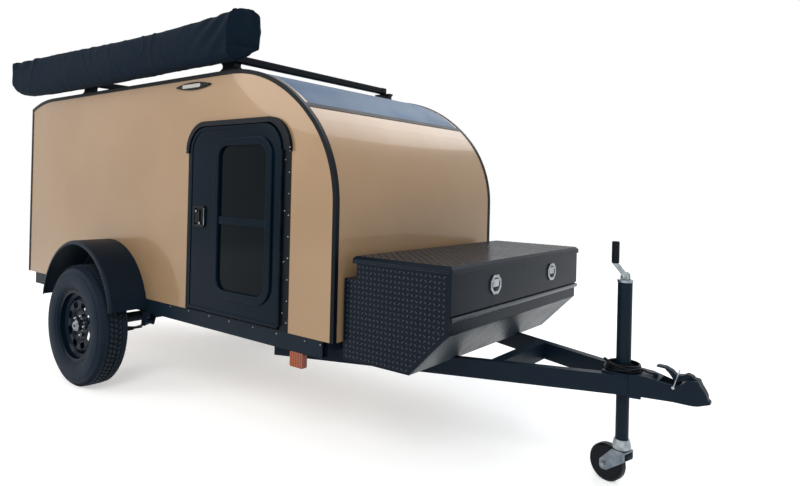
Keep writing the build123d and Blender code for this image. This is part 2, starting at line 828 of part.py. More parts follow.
def rim_section():
    """Barrel of the steel wheel, as distances from the wheel plane and from the axle."""
    half = rim_wide / 2
    steel = rim_steel
    well = rim_seat - well_deep
    line = [
        (half + 8, rim_radius), (half, rim_radius - steel), (half, rim_seat), (half - 24, rim_seat - 3),
        (half - 34, well), (-half + 60, well), (-half + 38, rim_seat - 3), (-half, rim_seat),
        (-half, rim_radius - steel), (-half - 8, rim_radius),
    ]
    back = [
        (-half - 8, rim_radius - steel), (-half - steel, rim_radius - 2 * steel), (-half - steel, rim_seat - steel),
        (-half + 38, rim_seat - 3 - steel), (-half + 58, well - steel), (half - 32, well - steel),
        (half - 22, rim_seat - 3 - steel), (half + steel, rim_seat - steel),
        (half + steel, rim_radius - 2 * steel), (half + 8, rim_radius - steel),
    ]
    return polygon(line + back)


def disc_section():
    """Dished disc, from the barrel's well to the hub, as distances from the wheel plane and from the axle."""
    lap = rim_seat - well_deep - rim_steel + 1
    nut = nut_face_out
    crest = nut_face_out + crest_out
    steel = disc_steel
    face = [(8, lap), (28, lap), (36, lap - 13), (crest, lap - 25), (crest, hub_radius + 50)]
    face += [(nut + 8, hub_radius + 33), (nut, hub_radius + 23), (nut, hub_barrel)]
    back = [(nut - steel, hub_barrel), (nut - steel, hub_radius + 25), (nut + 3, hub_radius + 36)]
    back += [(crest - steel, hub_radius + 52), (crest - steel, lap - 27), (31, lap - 17), (24, lap - 4), (8, lap - 4)]
    return polygon(face + back)


def make_wheels():
    tyre = revolve(Plane.YZ * tyre_section(), axis=Axis.Y)
    rim = revolve(Plane.YZ * rim_section(), axis=Axis.Y)
    disc = revolve(Plane.YZ * disc_section(), axis=Axis.Y)
    window = Pos(0, window_radius) * RectangleRounded(52, 36, 13)
    step = 360 / window_count
    for index in range(window_count):
        hole = Rot(0, 0, step * (index + 0.5)) * window
        disc -= extrude(Plane.XZ.offset(-rim_wide / 2) * hole, amount=rim_wide)
    rim += disc

    plate = Pos(0, 0, nut_face_out - disc_steel - hub_thick / 2) * Cylinder(hub_radius + hub_thick, hub_thick)
    barrel = Pos(0, 0, nut_face_out - hub_deep / 2) * Cylinder(hub_barrel, hub_deep)
    cap = Pos(0, 0, nut_face_out + hub_cap_out / 2) * Cylinder(hub_cap_radius, hub_cap_out)
    cap = chamfer(cap.edges().group_by(Axis.Z)[-1], hub_thick)
    bore_low = nut_face_out - hub_deep - 1
    bore = Cylinder(spindle_radius + pin_clearance, spindle_end + 3 - bore_low)
    hub = plate + barrel + cap - Pos(0, 0, (spindle_end + 3 + bore_low) / 2) * bore
    hub = Rot(-90, 0, 0) * hub

    wheel_spot = Pos(0, wheel_plane, tyre_radius)
    for side, turn in (("left", lambda piece: piece), ("right", lambda piece: mirror(piece, about=Plane.XZ))):
        export(f"tyre_{side}", turn(wheel_spot * tyre))
        export(f"rim_{side}", turn(wheel_spot * rim))
        export(f"hub_{side}", turn(wheel_spot * hub))


def box_profile():
    """Side view of the toolbox body: stepped rear, slanted bottom, set-back apron, ridge, groove and front panel."""
    apron_x = box_front - apron_in
    heel_x = box_front - heel_in
    panel_z = box_low_z + panel_low
    ridge_x = box_front + ridge_proud
    ridge_high = panel_z - groove_tall
    ridge_low = ridge_high - ridge_tall
    ease = ridge_tall / 4
    shelf_z = box_rim_z - box_shelf_down
    points = [
        (box_rear, box_low_z), (heel_x, box_low_z), (apron_x, box_low_z + apron_low), (apron_x, ridge_low),
        (ridge_x - ease, ridge_low), (ridge_x, ridge_low + ease), (ridge_x, ridge_high - ease),
        (ridge_x - ease, ridge_high), (box_front - groove_deep, ridge_high), (box_front - groove_deep, panel_z),
        (box_front, panel_z), (box_front, box_rim_z), (box_neck, box_rim_z), (box_neck, shelf_z), (box_rear, shelf_z),
    ]
    return polygon(points)


def box_hollow():
    """Side view of the space inside the toolbox, one sheet's thickness in."""
    front_x = box_front - apron_in - box_wall
    slope = apron_low / (heel_in - apron_in)
    low_z = box_low_z + box_wall
    heel_x = box_front - heel_in - box_wall * math.tan(math.atan(slope) / 2)
    shelf_z = box_rim_z - box_shelf_down - box_wall
    points = [
        (box_rear + box_wall, low_z), (heel_x, low_z), (front_x, low_z + (front_x - heel_x) * slope),
        (front_x, box_rim_z), (box_neck + box_wall, box_rim_z), (box_neck + box_wall, shelf_z),
        (box_rear + box_wall, shelf_z),
    ]
    return polygon(points)


def box_latch(latch_y):
    """Paddle latch on the front panel: an eight-sided bezel round a pocket, with the paddle inside."""
    centre = Pos(latch_y, box_rim_z - box_latch_down)
    face = centre * chamfer(Rectangle(box_latch_wide, box_latch_tall).vertices(), box_latch_corner)
    pocket = (box_latch_wide - 2 * box_latch_rim, box_latch_tall - 2 * box_latch_rim)
    pocket_face = centre * chamfer(Rectangle(*pocket).vertices(), box_latch_corner - box_latch_rim / 2)
    latch = across(face, box_front, box_front + box_latch_proud)
    latch -= across(pocket_face, box_front + box_wall, box_front + box_latch_proud)
    paddle = centre * Pos(0, box_latch_rim / 2) * Rectangle(pocket[0] - box_latch_rim, pocket[1] - 2 * box_latch_rim)
    return latch + across(paddle, box_front + box_wall, box_front + box_latch_proud - 1)


def make_toolbox():
    outside = side_slab(box_profile(), -box_half, box_half)
    body = outside - side_slab(box_hollow(), box_wall - box_half, box_half - box_wall)
    fold = rest_gap + box_wall
    saddle = upright(tongue_plan(-fold, tongue_wide + fold), box_low_z, tongue_top_z + box_wall)
    bed = upright(tongue_plan(-rest_gap, tongue_wide + rest_gap), tongue_low_z, tongue_top_z)
    for piece in both_sides(saddle):
        body -= piece
    export("box_saddles", *both_sides((saddle & outside) - bed))

    hinge_x = box_neck - hinge_edge
    hinge_z = box_rim_z + hinge_lift
    length = 2 * (box_half - hinge_end_gap)
    lid_rear = box_neck - lid_back
    fixed_web = ((0, hinge_edge), (-hinge_lift - web_thick, 0))
    moving_web = ((lid_rear + box_wall - hinge_x, 0), (-web_thick / 2, web_thick / 2))
    fixed, moving = piano_hinge(length, fixed_web, moving_web)
    spot = Plane((hinge_x, length / 2, hinge_z), x_dir=(1, 0, 0), z_dir=(0, -1, 0))
    export("toolbox_body", body + spot * fixed)

    lid_x = (lid_rear, box_front + lid_over)
    lid_y = (-box_half - lid_over, box_half + lid_over)
    lid_z = (box_rim_z + rest_gap, box_rim_z + lid_tall)
    lid = span_box(lid_x, lid_y, lid_z)
    lid = chamfer(lid.edges().group_by(Axis.Z)[-1], lid_chamfer)
    inner_x = (lid_x[0] + box_wall, lid_x[1] - lid_over - box_wall)
    inner_y = (lid_y[0] + lid_over + box_wall, lid_y[1] - lid_over - box_wall)
    lid -= span_box(inner_x, inner_y, (lid_z[0], lid_z[1] - lid_chamfer - box_wall))
    for knuckle in moving:
        lid += spot * knuckle
    export("toolbox_lid", lid)
    export("toolbox_latches", box_latch(-box_latch_y), box_latch(box_latch_y))


def coupler_side():
    """Side view of the coupler: sole under the rails, flat underside, ball housing and lip."""
    low_z = tongue_low_z + coupler_lift
    sole_z = tongue_low_z - coupler_sole
    return polygon([
        (coupler_rear, sole_z), (coupler_rear + coupler_sole_long, sole_z), (coupler_rear + coupler_sole_long, low_z),
        (ball_x + ball_bore, low_z), (coupler_nose, low_z + coupler_rise), (coupler_nose, low_z + coupler_rise + 9),
        (ball_x + 58, low_z + 27), (ball_x + 56, low_z + 40), (ball_x + 49, low_z + 54), (ball_x + 35, low_z + 73),
        (ball_x + 26, low_z + 92), (ball_x - 10, low_z + 92), (ball_x - 28, low_z + 70), (ball_x - 48, low_z + 66),
        (ball_x - 76, low_z + 66), (coupler_rear + 60, plate_top_z), (coupler_rear, plate_top_z),
    ])


def make_coupler():
    rear_half = tongue_edge(coupler_rear) + coupler_skin
    sleeve_x = tongue_end_x + jack_plate_gap
    neck_x = ball_x - 60
    half_plan = [(coupler_rear, rear_half), (neck_x, ball_cheek), (ball_x, ball_cheek)]
    plan = polygon(half_plan + [(x, -y) for x, y in reversed(half_plan)]) + Pos(ball_x, 0) * Circle(ball_cheek)
    half_lip = [(ball_x, ball_cheek), (coupler_nose, nose_lip_half)]
    plan += polygon(half_lip + [(x, -y) for x, y in reversed(half_lip)])
    top_z = tongue_top_z + tongue_tall
    mass = upright(plan, tongue_low_z - coupler_sole, top_z)
    mass &= side_slab(coupler_side(), -tongue_root_y, tongue_root_y)
    half_slot = [(coupler_rear, tongue_edge(coupler_rear)), (sleeve_x, tongue_edge(sleeve_x))]
    slot = polygon(half_slot + [(x, -y) for x, y in reversed(half_slot)])
    mass -= upright(slot, tongue_low_z, tongue_top_z)
    low_z = tongue_low_z + coupler_lift
    mass -= Pos(ball_x, 0, low_z + ball_deep) * Sphere(ball_bore)
    mass -= Pos(ball_x, 0, low_z + ball_deep / 2) * Cylinder(ball_bore, ball_deep)
    half_hollow = [(sleeve_x, tongue_edge(sleeve_x)), (ball_x - ball_cheek, ball_cheek - coupler_skin)]
    hollow = polygon(half_hollow + [(x, -y) for x, y in reversed(half_hollow)])
    mass -= upright(hollow, tongue_low_z - coupler_sole, tongue_top_z)
    clip_x = (jack_x + clip_ahead, jack_x + clip_ahead + clip_long)
    clip_z = (plate_top_z - jack_plate_thick / 2, plate_top_z + 2 * lead_radius + clip_above)
    mass += span_box(clip_x, (lead_y - clip_half, lead_y + clip_half), clip_z)
    export("coupler", mass)

    lever = [
        (-124, 117), (-123, 123), (-91, 122), (-66, 111), (-53, 98), (-29, 102), (-14, 110), (4, 105), (13, 96),
        (26, 92), (-10, 92), (-19, 82), (-30, 81), (-46, 73), (-50, 66), (-61, 66), (-60, 77), (-78, 101), (-94, 115),
    ]
    lever = [(ball_x + ahead, low_z + above) for ahead, above in lever]
    export("coupler_latch", side_slab(polygon(lever), -latch_half, latch_half))


def make_jack():
    tall = jack_top_z - tongue_low_z
    tube = Pos(0, 0, tongue_low_z + tall / 2) * Cylinder(jack_outer_radius, tall)
    hollow = tall - jack_screw_room
    tube -= Pos(0, 0, tongue_low_z + hollow / 2) * Cylinder(jack_inner_radius + pin_clearance, hollow)
    plate_x = (-jack_plate_rear, coupler_rear - jack_x - jack_plate_gap)
    plate_half = tongue_edge(jack_x)
    plate = span_box(plate_x, (-plate_half, plate_half), (tongue_top_z, plate_top_z))
    plate = fillet(plate.edges().filter_by(Axis.Z), jack_plate_thick)
    plate -= Pos(0, 0, tongue_top_z) * Cylinder(jack_outer_radius, 4 * jack_plate_thick)
    at_jack = Pos(jack_x, 0, 0)
    export("jack_tube", at_jack * (tube + plate))

    pin_z = jack_top_z + cap_tall + knuckle_up
    grip_low_z = jack_top_z + grip_up
    cap = Pos(0, 0, jack_top_z + cap_tall / 2) * Cylinder(jack_outer_radius + cap_over, cap_tall)
    ears = polygon([
        (-cross_pin_radius, jack_top_z + cap_tall), (cross_pin_radius, jack_top_z + cap_tall),
        (cross_pin_radius, pin_z), (-cross_pin_radius, pin_z),
    ])
    crank = cap + side_slab(ears + Pos(0, pin_z) * Circle(cross_pin_radius), -cross_pin_long / 2, cross_pin_long / 2)
    arm = polygon([
        (-arm_wide / 2, pin_z), (arm_wide / 2, pin_z), (arm_wide / 2 - grip_back, grip_low_z),
        (-arm_wide / 2 - grip_back, grip_low_z),
    ])
    crank += side_slab(arm, -arm_thick / 2, arm_thick / 2)
    export("jack_crank", at_jack * crank)
    grip = Pos(-grip_back, 0, grip_low_z + grip_tall / 2) * Cylinder(grip_radius, grip_tall)
    grip = chamfer(grip.edges(), grip_radius / 5)
    export("crank_grip", at_jack * grip)

    inner = Pos(0, 0, collar_low_z + leg_tall / 2) * Cylinder(jack_inner_radius, leg_tall)
    inner -= Pos(0, 0, collar_low_z + leg_tall / 2 + jack_wall) * Cylinder(jack_inner_radius - jack_wall, leg_tall)
    export("jack_inner", at_jack * inner)


def make_caster():
    low = collar_low_z
    cone_tall = collar_tall - collar_step
    collar = Pos(0, 0, low + collar_step / 2) * Cylinder(collar_low_radius, collar_step)
    collar += Pos(0, 0, low + collar_step + cone_tall / 2) * Cone(collar_low_radius, collar_top_radius, cone_tall)
    collar -= Pos(0, 0, low + collar_tall / 2) * Cylinder(jack_inner_radius, 2 * collar_tall)
    plate_low = low - swivel_thick
    collar += Pos(0, 0, low - swivel_thick / 2) * Cylinder(swivel_radius, swivel_thick)
    king_tall = 1.5 * swivel_thick
    collar += Pos(0, 0, plate_low - king_tall / 2) * Cylinder(king_radius, king_tall)
    at_jack = Pos(jack_x, 0, 0)
    export("caster_collar", at_jack * collar)

    fork_top = plate_low - rest_gap
    inside = caster_wide / 2 + caster_side_gap
    cheek_out = inside + cheek_thick
    crown_x = (-1.5 * king_radius, 4 * king_radius)
    lobe = caster_trail + 3 * cheek_corner / 2
    cheek = polygon([
        (crown_x[0] - cheek_corner, fork_top), (crown_x[1], fork_top), (crown_x[1], fork_top - 3 * cheek_corner),
        (cheek_corner - caster_trail, caster_radius - 2 * cheek_corner), (-lobe, caster_radius - 2 * cheek_corner),
        (-lobe, caster_radius + cheek_corner),
    ])
    cheek = fillet(cheek.vertices(), cheek_corner)
    crown_z = (fork_top - swivel_thick, fork_top)
    fork = span_box(crown_x, (-cheek_out, cheek_out), crown_z)
    for low_y in (-cheek_out, inside):
        fork += side_slab(cheek, low_y, low_y + cheek_thick)
    fork -= Pos(0, 0, fork_top) * Cylinder(king_radius + pin_clearance, 3 * swivel_thick)
    fork += Pos(-caster_trail, 0, caster_radius) * Rot(90, 0, 0) * Cylinder(caster_bolt, 2 * (cheek_out + bolt_end))

    half = caster_wide / 2
    ease = caster_round
    rim_line = [
        (half, 0), (half, caster_radius - ease), (half - ease / 4, caster_radius - ease / 2),
        (half - ease, caster_radius), (0, caster_radius),
    ]
    tread = polygon(rim_line + [(-a, r) for a, r in reversed(rim_line[:-1])])
    wheel = revolve(Plane.YZ * tread, axis=Axis.Y)
    boss = inside - rest_gap
    wheel += Rot(90, 0, 0) * Cylinder(2 * king_radius, 2 * boss)
    wheel -= Rot(90, 0, 0) * Cylinder(caster_bolt + pin_clearance, 2 * caster_wide)
    heading = at_jack * Rot(0, 0, caster_heading - 180)
    export("caster_fork", heading * fork)
    export("caster_wheel", heading * Pos(-caster_trail, 0, caster_radius) * wheel)


def make_lead():
    """Wiring lead, flat on the jack's plate: the stretch from the coupler's clip, the coil and the plug on it."""
    spot = (clip_ahead, lead_y)
    points = [spot]
    for turn in lead_turns:
        spot = arc_point(spot, -lead_run, turn)
        points.append(spot)
    bends = [math.radians(b - a) for a, b in zip(lead_turns, lead_turns[1:])]
    radii = [0.45 * lead_run / math.tan(bend / 2) for bend in bends]
    print("lead radii", [round(radius, 1) for radius in radii])
    path = FilletPolyline(*points, radius=radii)
    tube = sweep(Plane(origin=path @ 0, z_dir=path % 0) * Circle(lead_radius), path=path)
    print("lead volume share", round(tube.volume / (math.pi * lead_radius**2 * path.length), 4))
    outer = Cylinder(coil_outer, coil_tall, align=(Align.CENTER, Align.CENTER, Align.MIN))
    tube -= Pos(0, 0, -coil_tall / 2) * outer
    coil = chamfer(outer.edges(), coil_ease) - Cylinder(coil_inner, 3 * coil_tall)
    at_plate = Pos(jack_x, 0, plate_top_z)
    export("lead_tube", at_plate * Pos(0, 0, lead_radius) * tube)
    export("lead_coil", at_plate * coil)
    plug = Rot(0, 0, plug_heading) * Rot(0, 90, 0) * Cylinder(plug_radius, plug_long)
    plug = chamfer(plug.edges(), plug_radius / 5)
    export("lead_plug", at_plate * Pos(*plug_place, coil_tall + plug_radius) * plug)


def make_roof_load():
    foot_near = body_half - foot_side_in
    neck_z = roof_z + foot_step + foot_slope
    half_foot = [
        (foot_long / 2, roof_z), (foot_long / 2, roof_z + foot_step), (foot_waist / 2, neck_z),
        (foot_waist / 2, bar_low - foot_slope), (foot_head / 2, bar_low - foot_step), (foot_head / 2, bar_low),
    ]
    bars = []
    feet = []
    for bar_x in (bar_front_x, bar_rear_x):
        centre = Pos(bar_x, bar_top_z - bar_section / 2)
        bar = side_slab(centre * RectangleRounded(bar_section, bar_section, bar_section / 5), -bar_half, bar_half)
        cap_face = RectangleRounded(bar_section + 2 * bar_cap_thick, bar_section + bar_cap_thick, bar_section / 5)
        cap_face = centre * Pos(0, bar_cap_thick / 2) * cap_face
        for end in both_sides(side_slab(cap_face, bar_half - bar_cap_long, bar_half)):
            bar += end
        bars.append(bar)
        foot = side_slab(mirrored(half_foot), foot_near, foot_near + foot_wide)
        feet += both_sides(Pos(bar_x, 0, 0) * foot)
    export("roof_bars", *bars)
    export("bar_feet", *feet)

    seat = bar_top_z + bar_cap_thick + soft_gap
    inner = bar_half - bar_cap_long + 3
    end = bar_half + soft_gap
    low = bar_top_z - 24
    points = [
        (-inner, seat), (-end, seat), (-end - 4, low), (-end - 112, low - 50), (-end - 158, low - 22),
        (-end - 165, low + 60), (-end - 137, low + 173), (-end - 118, low + 199), (-end - 23, low + 221),
        (-inner, low + 208),
    ]
    bag = fillet(polygon(points).vertices().sort_by(Axis.X)[:6], awning_round)
    export("awning_bag", across(bag, awning_tail, awning_front))


os.makedirs("parts", exist_ok=True)
make_chassis()
make_tongue()
make_shell()
make_doors()
make_rear()
make_side_lamps()
make_running_gear()
make_fenders()
make_wheels()
make_toolbox()
make_coupler()
make_jack()
make_caster()
make_lead()
make_roof_load()
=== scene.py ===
import json
import math
import random

import bmesh
import bpy
from mathutils import Matrix, Vector, noise
from mathutils.bvhtree import BVHTree


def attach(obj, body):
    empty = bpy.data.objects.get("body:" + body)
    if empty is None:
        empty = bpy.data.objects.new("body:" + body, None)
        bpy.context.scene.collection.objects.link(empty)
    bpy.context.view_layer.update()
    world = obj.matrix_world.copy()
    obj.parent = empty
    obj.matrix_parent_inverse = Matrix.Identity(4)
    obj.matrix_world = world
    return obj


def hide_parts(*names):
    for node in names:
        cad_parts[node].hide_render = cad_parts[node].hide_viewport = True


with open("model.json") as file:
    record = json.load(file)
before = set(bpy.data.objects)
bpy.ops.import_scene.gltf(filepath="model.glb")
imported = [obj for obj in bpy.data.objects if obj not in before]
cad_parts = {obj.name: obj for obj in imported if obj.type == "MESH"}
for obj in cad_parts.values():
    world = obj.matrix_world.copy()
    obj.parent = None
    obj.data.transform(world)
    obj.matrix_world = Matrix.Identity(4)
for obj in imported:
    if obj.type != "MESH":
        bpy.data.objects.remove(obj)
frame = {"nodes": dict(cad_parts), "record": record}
scene = bpy.context.scene
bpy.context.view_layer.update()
print("frame loaded, nodes:", len(frame["nodes"]))

axleBack = 0.909  # metres from the shared frame's middle back to the axle
wheelHeight = 344  # millimetres from the ground to the axle
acrossMirror = Matrix.Diagonal((1, -1, 1, 1))


# Small helpers for modelling

def at(x, y, z):
    # millimetres from the axle's middle, at ground level, to metres in the shared frame
    return Vector((x / 1000 - axleBack, y / 1000, z / 1000))


def clear():
    if bpy.context.object and bpy.context.object.mode != "OBJECT":
        bpy.ops.object.mode_set(mode="OBJECT")
    bpy.ops.object.select_all(action="DESELECT")


def choose(obj):
    clear()
    obj.select_set(True)
    bpy.context.view_layer.objects.active = obj


def named(obj, name):
    obj.name = name
    obj.data.name = name
    return obj


def linked(name, data):
    obj = bpy.data.objects.new(name, data)
    scene.collection.objects.link(obj)
    return obj


def setUp(thing, **values):
    for key, value in values.items():
        setattr(thing, key, value)
    return thing


def settle(obj, name):
    # puts the place, turn and size of a new object into its mesh
    choose(named(obj, name))
    bpy.ops.object.transform_apply(location=True, rotation=True, scale=True)
    return obj


def block(name, low, high):
    clear()
    bpy.ops.mesh.primitive_cube_add(size=1, location=(low + high) / 2)
    obj = bpy.context.object
    obj.scale = high - low
    return settle(obj, name)


def rod(name, start, end, radius, sides=24, tip=None):
    # a round bar, or a cone where it has a tip; both radii are in millimetres
    clear()
    run = end - start
    tip = radius if tip is None else tip
    bpy.ops.mesh.primitive_cone_add(vertices=sides, radius1=radius / 1000, radius2=tip / 1000,
                                    depth=run.length, location=(start + end) / 2,
                                    rotation=run.to_track_quat("Z", "Y").to_euler())
    return settle(bpy.context.object, name)


def peg(name, x, z, start, end, radius, sides=24, tip=None):
    # a rod that runs across the trailer
    return rod(name, at(x, start, z), at(x, end, z), radius, sides, tip)


def curveAlong(name, points, kind, radius, roundness, steps=12):
    data = setUp(bpy.data.curves.new(name, "CURVE"), dimensions="3D", resolution_u=steps,
                 bevel_depth=radius / 1000, bevel_resolution=roundness)
    spline = data.splines.new(kind)
    spline.points.add(len(points) - 1)
    for spot, point in zip(spline.points, points):
        spot.co = (*point, 1)
    return linked(name, data)


def editing(obj):
    choose(obj)
    bpy.ops.object.mode_set(mode="EDIT")
    bpy.ops.mesh.select_mode(type="FACE")
    bpy.ops.mesh.select_all(action="DESELECT")
    return bmesh.from_edit_mesh(obj.data)


def done():
    bpy.ops.object.mode_set(mode="OBJECT")
    clear()


def applied(obj, kind, **values):
    choose(obj)
    modifier = setUp(obj.modifiers.new(kind.lower(), kind), **values)
    bpy.ops.object.modifier_apply(modifier=modifier.name)
    return obj


def softened(obj, width, segments=2):
    # rounds the sharp edges, by a width in millimetres
    return applied(obj, "BEVEL", width=width / 1000, segments=segments, limit_method="ANGLE",
                   angle_limit=math.radians(30), harden_normals=False)


def smooth(obj, angle=40):
    choose(obj)
    bpy.ops.object.shade_smooth_by_angle(angle=math.radians(angle))
    clear()
    return obj


def joined(name, parts):
    choose(parts[0])
    for part in parts[1:]:
        part.select_set(True)
    if len(parts) > 1:
        bpy.ops.object.join()
    obj = named(bpy.context.object, name)
    clear()
    return obj


def copied(obj, matrix, name=None):
    other = obj.copy()
    other.data = obj.data.copy()
    other.data.transform(matrix)
    if matrix.determinant() < 0:
        other.data.flip_normals()
    scene.collection.objects.link(other)
    return named(other, name) if name else other


def placed(obj, body, slot, look=None):
    # gives a piece its body, and the slot's material, or another material where a look is given
    obj.data.materials.clear()
    obj.data.materials.append(materials[look or slot])
    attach(obj, body)
    return obj


def bothSides(obj, body, slot, look=None):
    # a piece of the right side and its mirrored copy on the left
    left = copied(obj, acrossMirror, obj.name.replace("Right", "Left"))
    return placed(obj, body, slot, look), placed(left, body.replace("right", "left"), slot, look)


# Camera at the photograph's place

cameraValues = {
    "place": (2.6668, -2.4890, 1.1731),
    "yaw": 2.229166,  # radians from +X, anticlockwise
    "pitch": 0.00238,
    "roll": 0.02373,
    "lens": 27.26,
    "shiftY": -0.0701,
}


def makeCamera(values):
    yaw, pitch, roll = values["yaw"], values["pitch"], values["roll"]
    forward = Vector((math.cos(yaw) * math.cos(pitch), math.sin(yaw) * math.cos(pitch), math.sin(pitch)))
    right = forward.cross(Vector((0, 0, 1))).normalized()
    up = right.cross(forward)
    rightRolled = right * math.cos(roll) + up * math.sin(roll)
    upRolled = up * math.cos(roll) - right * math.sin(roll)
    camera = linked("mainCamera", bpy.data.cameras.new("mainCamera"))
    setUp(camera.data, lens=values["lens"], shift_y=values["shiftY"], sensor_width=36, clip_start=0.05,
          clip_end=200)
    turn = Matrix((rightRolled, upRolled, -forward)).transposed().to_4x4()
    camera.matrix_world = Matrix.Translation(Vector(values["place"])) @ turn
    scene.camera = camera


makeCamera(cameraValues)
print("camera placed")


# Node helpers

def fill(tree, node, **values):
    # gives a node its settings and inputs; an underscore stands for the space in an input's name
    for key, value in values.items():
        if hasattr(node, key):
            setattr(node, key, value)
        else:
            feed(tree, node.inputs[key.replace("_", " ")], value)
    return node


def feed(tree, socket, value):
    if isinstance(value, bpy.types.NodeSocket):
        tree.links.new(value, socket)
    else:
        socket.default_value = value


def nodeIn(tree, kind, **values):
    return fill(tree, tree.nodes.new("ShaderNode" + kind), **values)


def placeIn(tree):
    return nodeIn(tree, "TexCoord").outputs["Object"]


def cloudy(tree, place, scale, detail=2.0, **values):
    return nodeIn(tree, "TexNoise", Vector=place, Scale=scale, Detail=detail, **values).outputs["Fac"]


def ribbed(tree, place, direction, scale, **values):
    wave = nodeIn(tree, "TexWave", Vector=place, bands_direction=direction, Scale=scale, **values)
    return wave.outputs["Fac"]


def ramp(tree, source, low, high):
    # black below the low value, white above the high one
    node = nodeIn(tree, "ValToRGB", Fac=source)
    for element, place in zip(node.color_ramp.elements, (low, high)):
        element.position = place
    return node.outputs["Color"]


def levels(tree, source, low, high, fromLow=0.0, fromHigh=1.0):
    return nodeIn(tree, "MapRange", Value=source, From_Min=fromLow, From_Max=fromHigh,
                  To_Min=low, To_Max=high).outputs["Result"]


def mixed(tree, factor, first, second):
    node = nodeIn(tree, "Mix", data_type="RGBA")
    for index, value in ((0, factor), (6, first), (7, second)):
        feed(tree, node.inputs[index], (*value, 1) if isinstance(value, tuple) else value)
    return node.outputs[2]


def sums(tree, how, first, second):
    node = nodeIn(tree, "Math", operation=how)
    feed(tree, node.inputs[0], first)
    feed(tree, node.inputs[1], second)
    return node.outputs[0]


def bumped(tree, height, strength, distance, **values):
    bump = nodeIn(tree, "Bump", Height=height, Strength=strength, Distance=distance, **values)
    return bump.outputs["Normal"]


def newGroup(name, inputs, outputs):
    group = bpy.data.node_groups.new(name, "ShaderNodeTree")
    for title, kind, value in inputs:
        socket = group.interface.new_socket(name=title, in_out="INPUT", socket_type="NodeSocket" + kind)
        socket.default_value = value
    for title, kind in outputs:
        group.interface.new_socket(name=title, in_out="OUTPUT", socket_type="NodeSocket" + kind)
    return group, group.nodes.new("NodeGroupInput").outputs, group.nodes.new("NodeGroupOutput")


def grouped(tree, group, **values):
    return nodeIn(tree, "Group", node_tree=group, **values).outputs


def makeFineGrain():
    # a small even grain, for roughness and bump of moulded, cast and powder coated parts
    group, given, result = newGroup(
        "fineGrain", [("Scale", "Float", 400.0), ("Low", "Float", 0.3), ("High", "Float", 0.5)],
        [("Roughness", "Float"), ("Height", "Float")])
    place = placeIn(group)
    grain = cloudy(group, place, given["Scale"], 3.0, Roughness=0.6)
    broad = cloudy(group, place, 7.0)
    total = sums(group, "MULTIPLY", sums(group, "ADD", grain, broad), 0.5)
    fill(group, result, Roughness=levels(group, total, given["Low"], given["High"], 0.3, 0.7), Height=grain)
    return group


def makeRoadDust():
    # patches of pale dust, thicker low down
    group, given, result = newGroup(
        "roadDust", [("Colour", "Color", (0, 0, 0, 1)), ("Top", "Float", 0.7), ("Amount", "Float", 0.3)],
        [("Colour", "Color")])
    place = placeIn(group)
    height = nodeIn(group, "SeparateXYZ", Vector=place).outputs["Z"]
    low = levels(group, height, 1.0, 0.0, 0.0, given["Top"])
    patches = ramp(group, cloudy(group, place, 9.0, 6.0, Roughness=0.65), 0.38, 0.7)
    mask = sums(group, "MULTIPLY", sums(group, "MULTIPLY", patches, low), given["Amount"])
    fill(group, result, Colour=mixed(group, mask, given["Colour"], (0.2, 0.19, 0.18)))
    return group


def makeRainStreaks():
    # faint runs that rain leaves on upright painted panels
    group, given, result = newGroup(
        "rainStreaks", [("Low", "Float", 0.1), ("High", "Float", 0.2)], [("Roughness", "Float")])
    stretch = nodeIn(group, "Mapping", Vector=placeIn(group), Scale=(5.0, 5.0, 0.8))
    runs = cloudy(group, stretch.outputs[0], 1.0, 4.0)
    fill(group, result, Roughness=levels(group, runs, given["Low"], given["High"], 0.35, 0.7))
    return group


fineGrain = makeFineGrain()
roadDust = makeRoadDust()
rainStreaks = makeRainStreaks()


# Materials

def newMaterial(name, **values):
    material = bpy.data.materials.new(name)
    material.use_nodes = True
    tree = material.node_tree
    return material, tree, fill(tree, tree.nodes["Principled BSDF"], **values)


def makePaint(name, dark, light, metal, coat, specular, smoothest, dullest, dust, dustTop):
    # sprayed paint: broad clouds, dust, rain streaks and a faint orange peel
    material, tree, shader = newMaterial(name, Metallic=metal, Coat_Weight=coat, Coat_Roughness=0.03,
                                         Specular_IOR_Level=specular)
    place = placeIn(tree)
    base = mixed(tree, ramp(tree, cloudy(tree, place, 1.7, 3.0), 0.35, 0.65), dark, light)
    dusty = grouped(tree, roadDust, Colour=base, Top=dustTop, Amount=dust)
    streaks = grouped(tree, rainStreaks, Low=smoothest, High=dullest)
    peel = bumped(tree, cloudy(tree, place, 260.0, 1.0), 0.06, 0.0004)
    fill(tree, shader, Base_Color=dusty["Colour"], Roughness=streaks["Roughness"], Normal=peel)
    return material


def wornCrown(tree, base, place, values):
    # the paler, road-worn tops of the tread blocks, by their distance from the axle
    flat = nodeIn(tree, "VectorMath", operation="MULTIPLY", Vector=place)
    flat.inputs[1].default_value = (1, 0, 1)
    away = nodeIn(tree, "VectorMath", operation="DISTANCE", Vector=flat.outputs[0])
    away.inputs[1].default_value = values["hub"]
    crown = sums(tree, "GREATER_THAN", away.outputs["Value"], values["from"])
    return mixed(tree, crown, base, values["colour"])


def makeCoated(name, dark, light, grainScale, smoothest, dullest, bump, dust, specular, worn=None):
    # powder coated or moulded parts: an even dark colour, a fine grain, and dust low down
    material, tree, shader = newMaterial(name, Metallic=0.0, Specular_IOR_Level=specular)
    place = placeIn(tree)
    base = mixed(tree, cloudy(tree, place, 5.0, 4.0), dark, light)
    if worn:
        base = wornCrown(tree, base, place, worn)
    dusty = grouped(tree, roadDust, Colour=base, Top=0.7, Amount=dust)
    grain = grouped(tree, fineGrain, Scale=grainScale, Low=smoothest, High=dullest)
    fill(tree, shader, Base_Color=dusty["Colour"], Roughness=grain["Roughness"],
         Normal=bumped(tree, grain["Height"], bump, 0.0006))
    return material


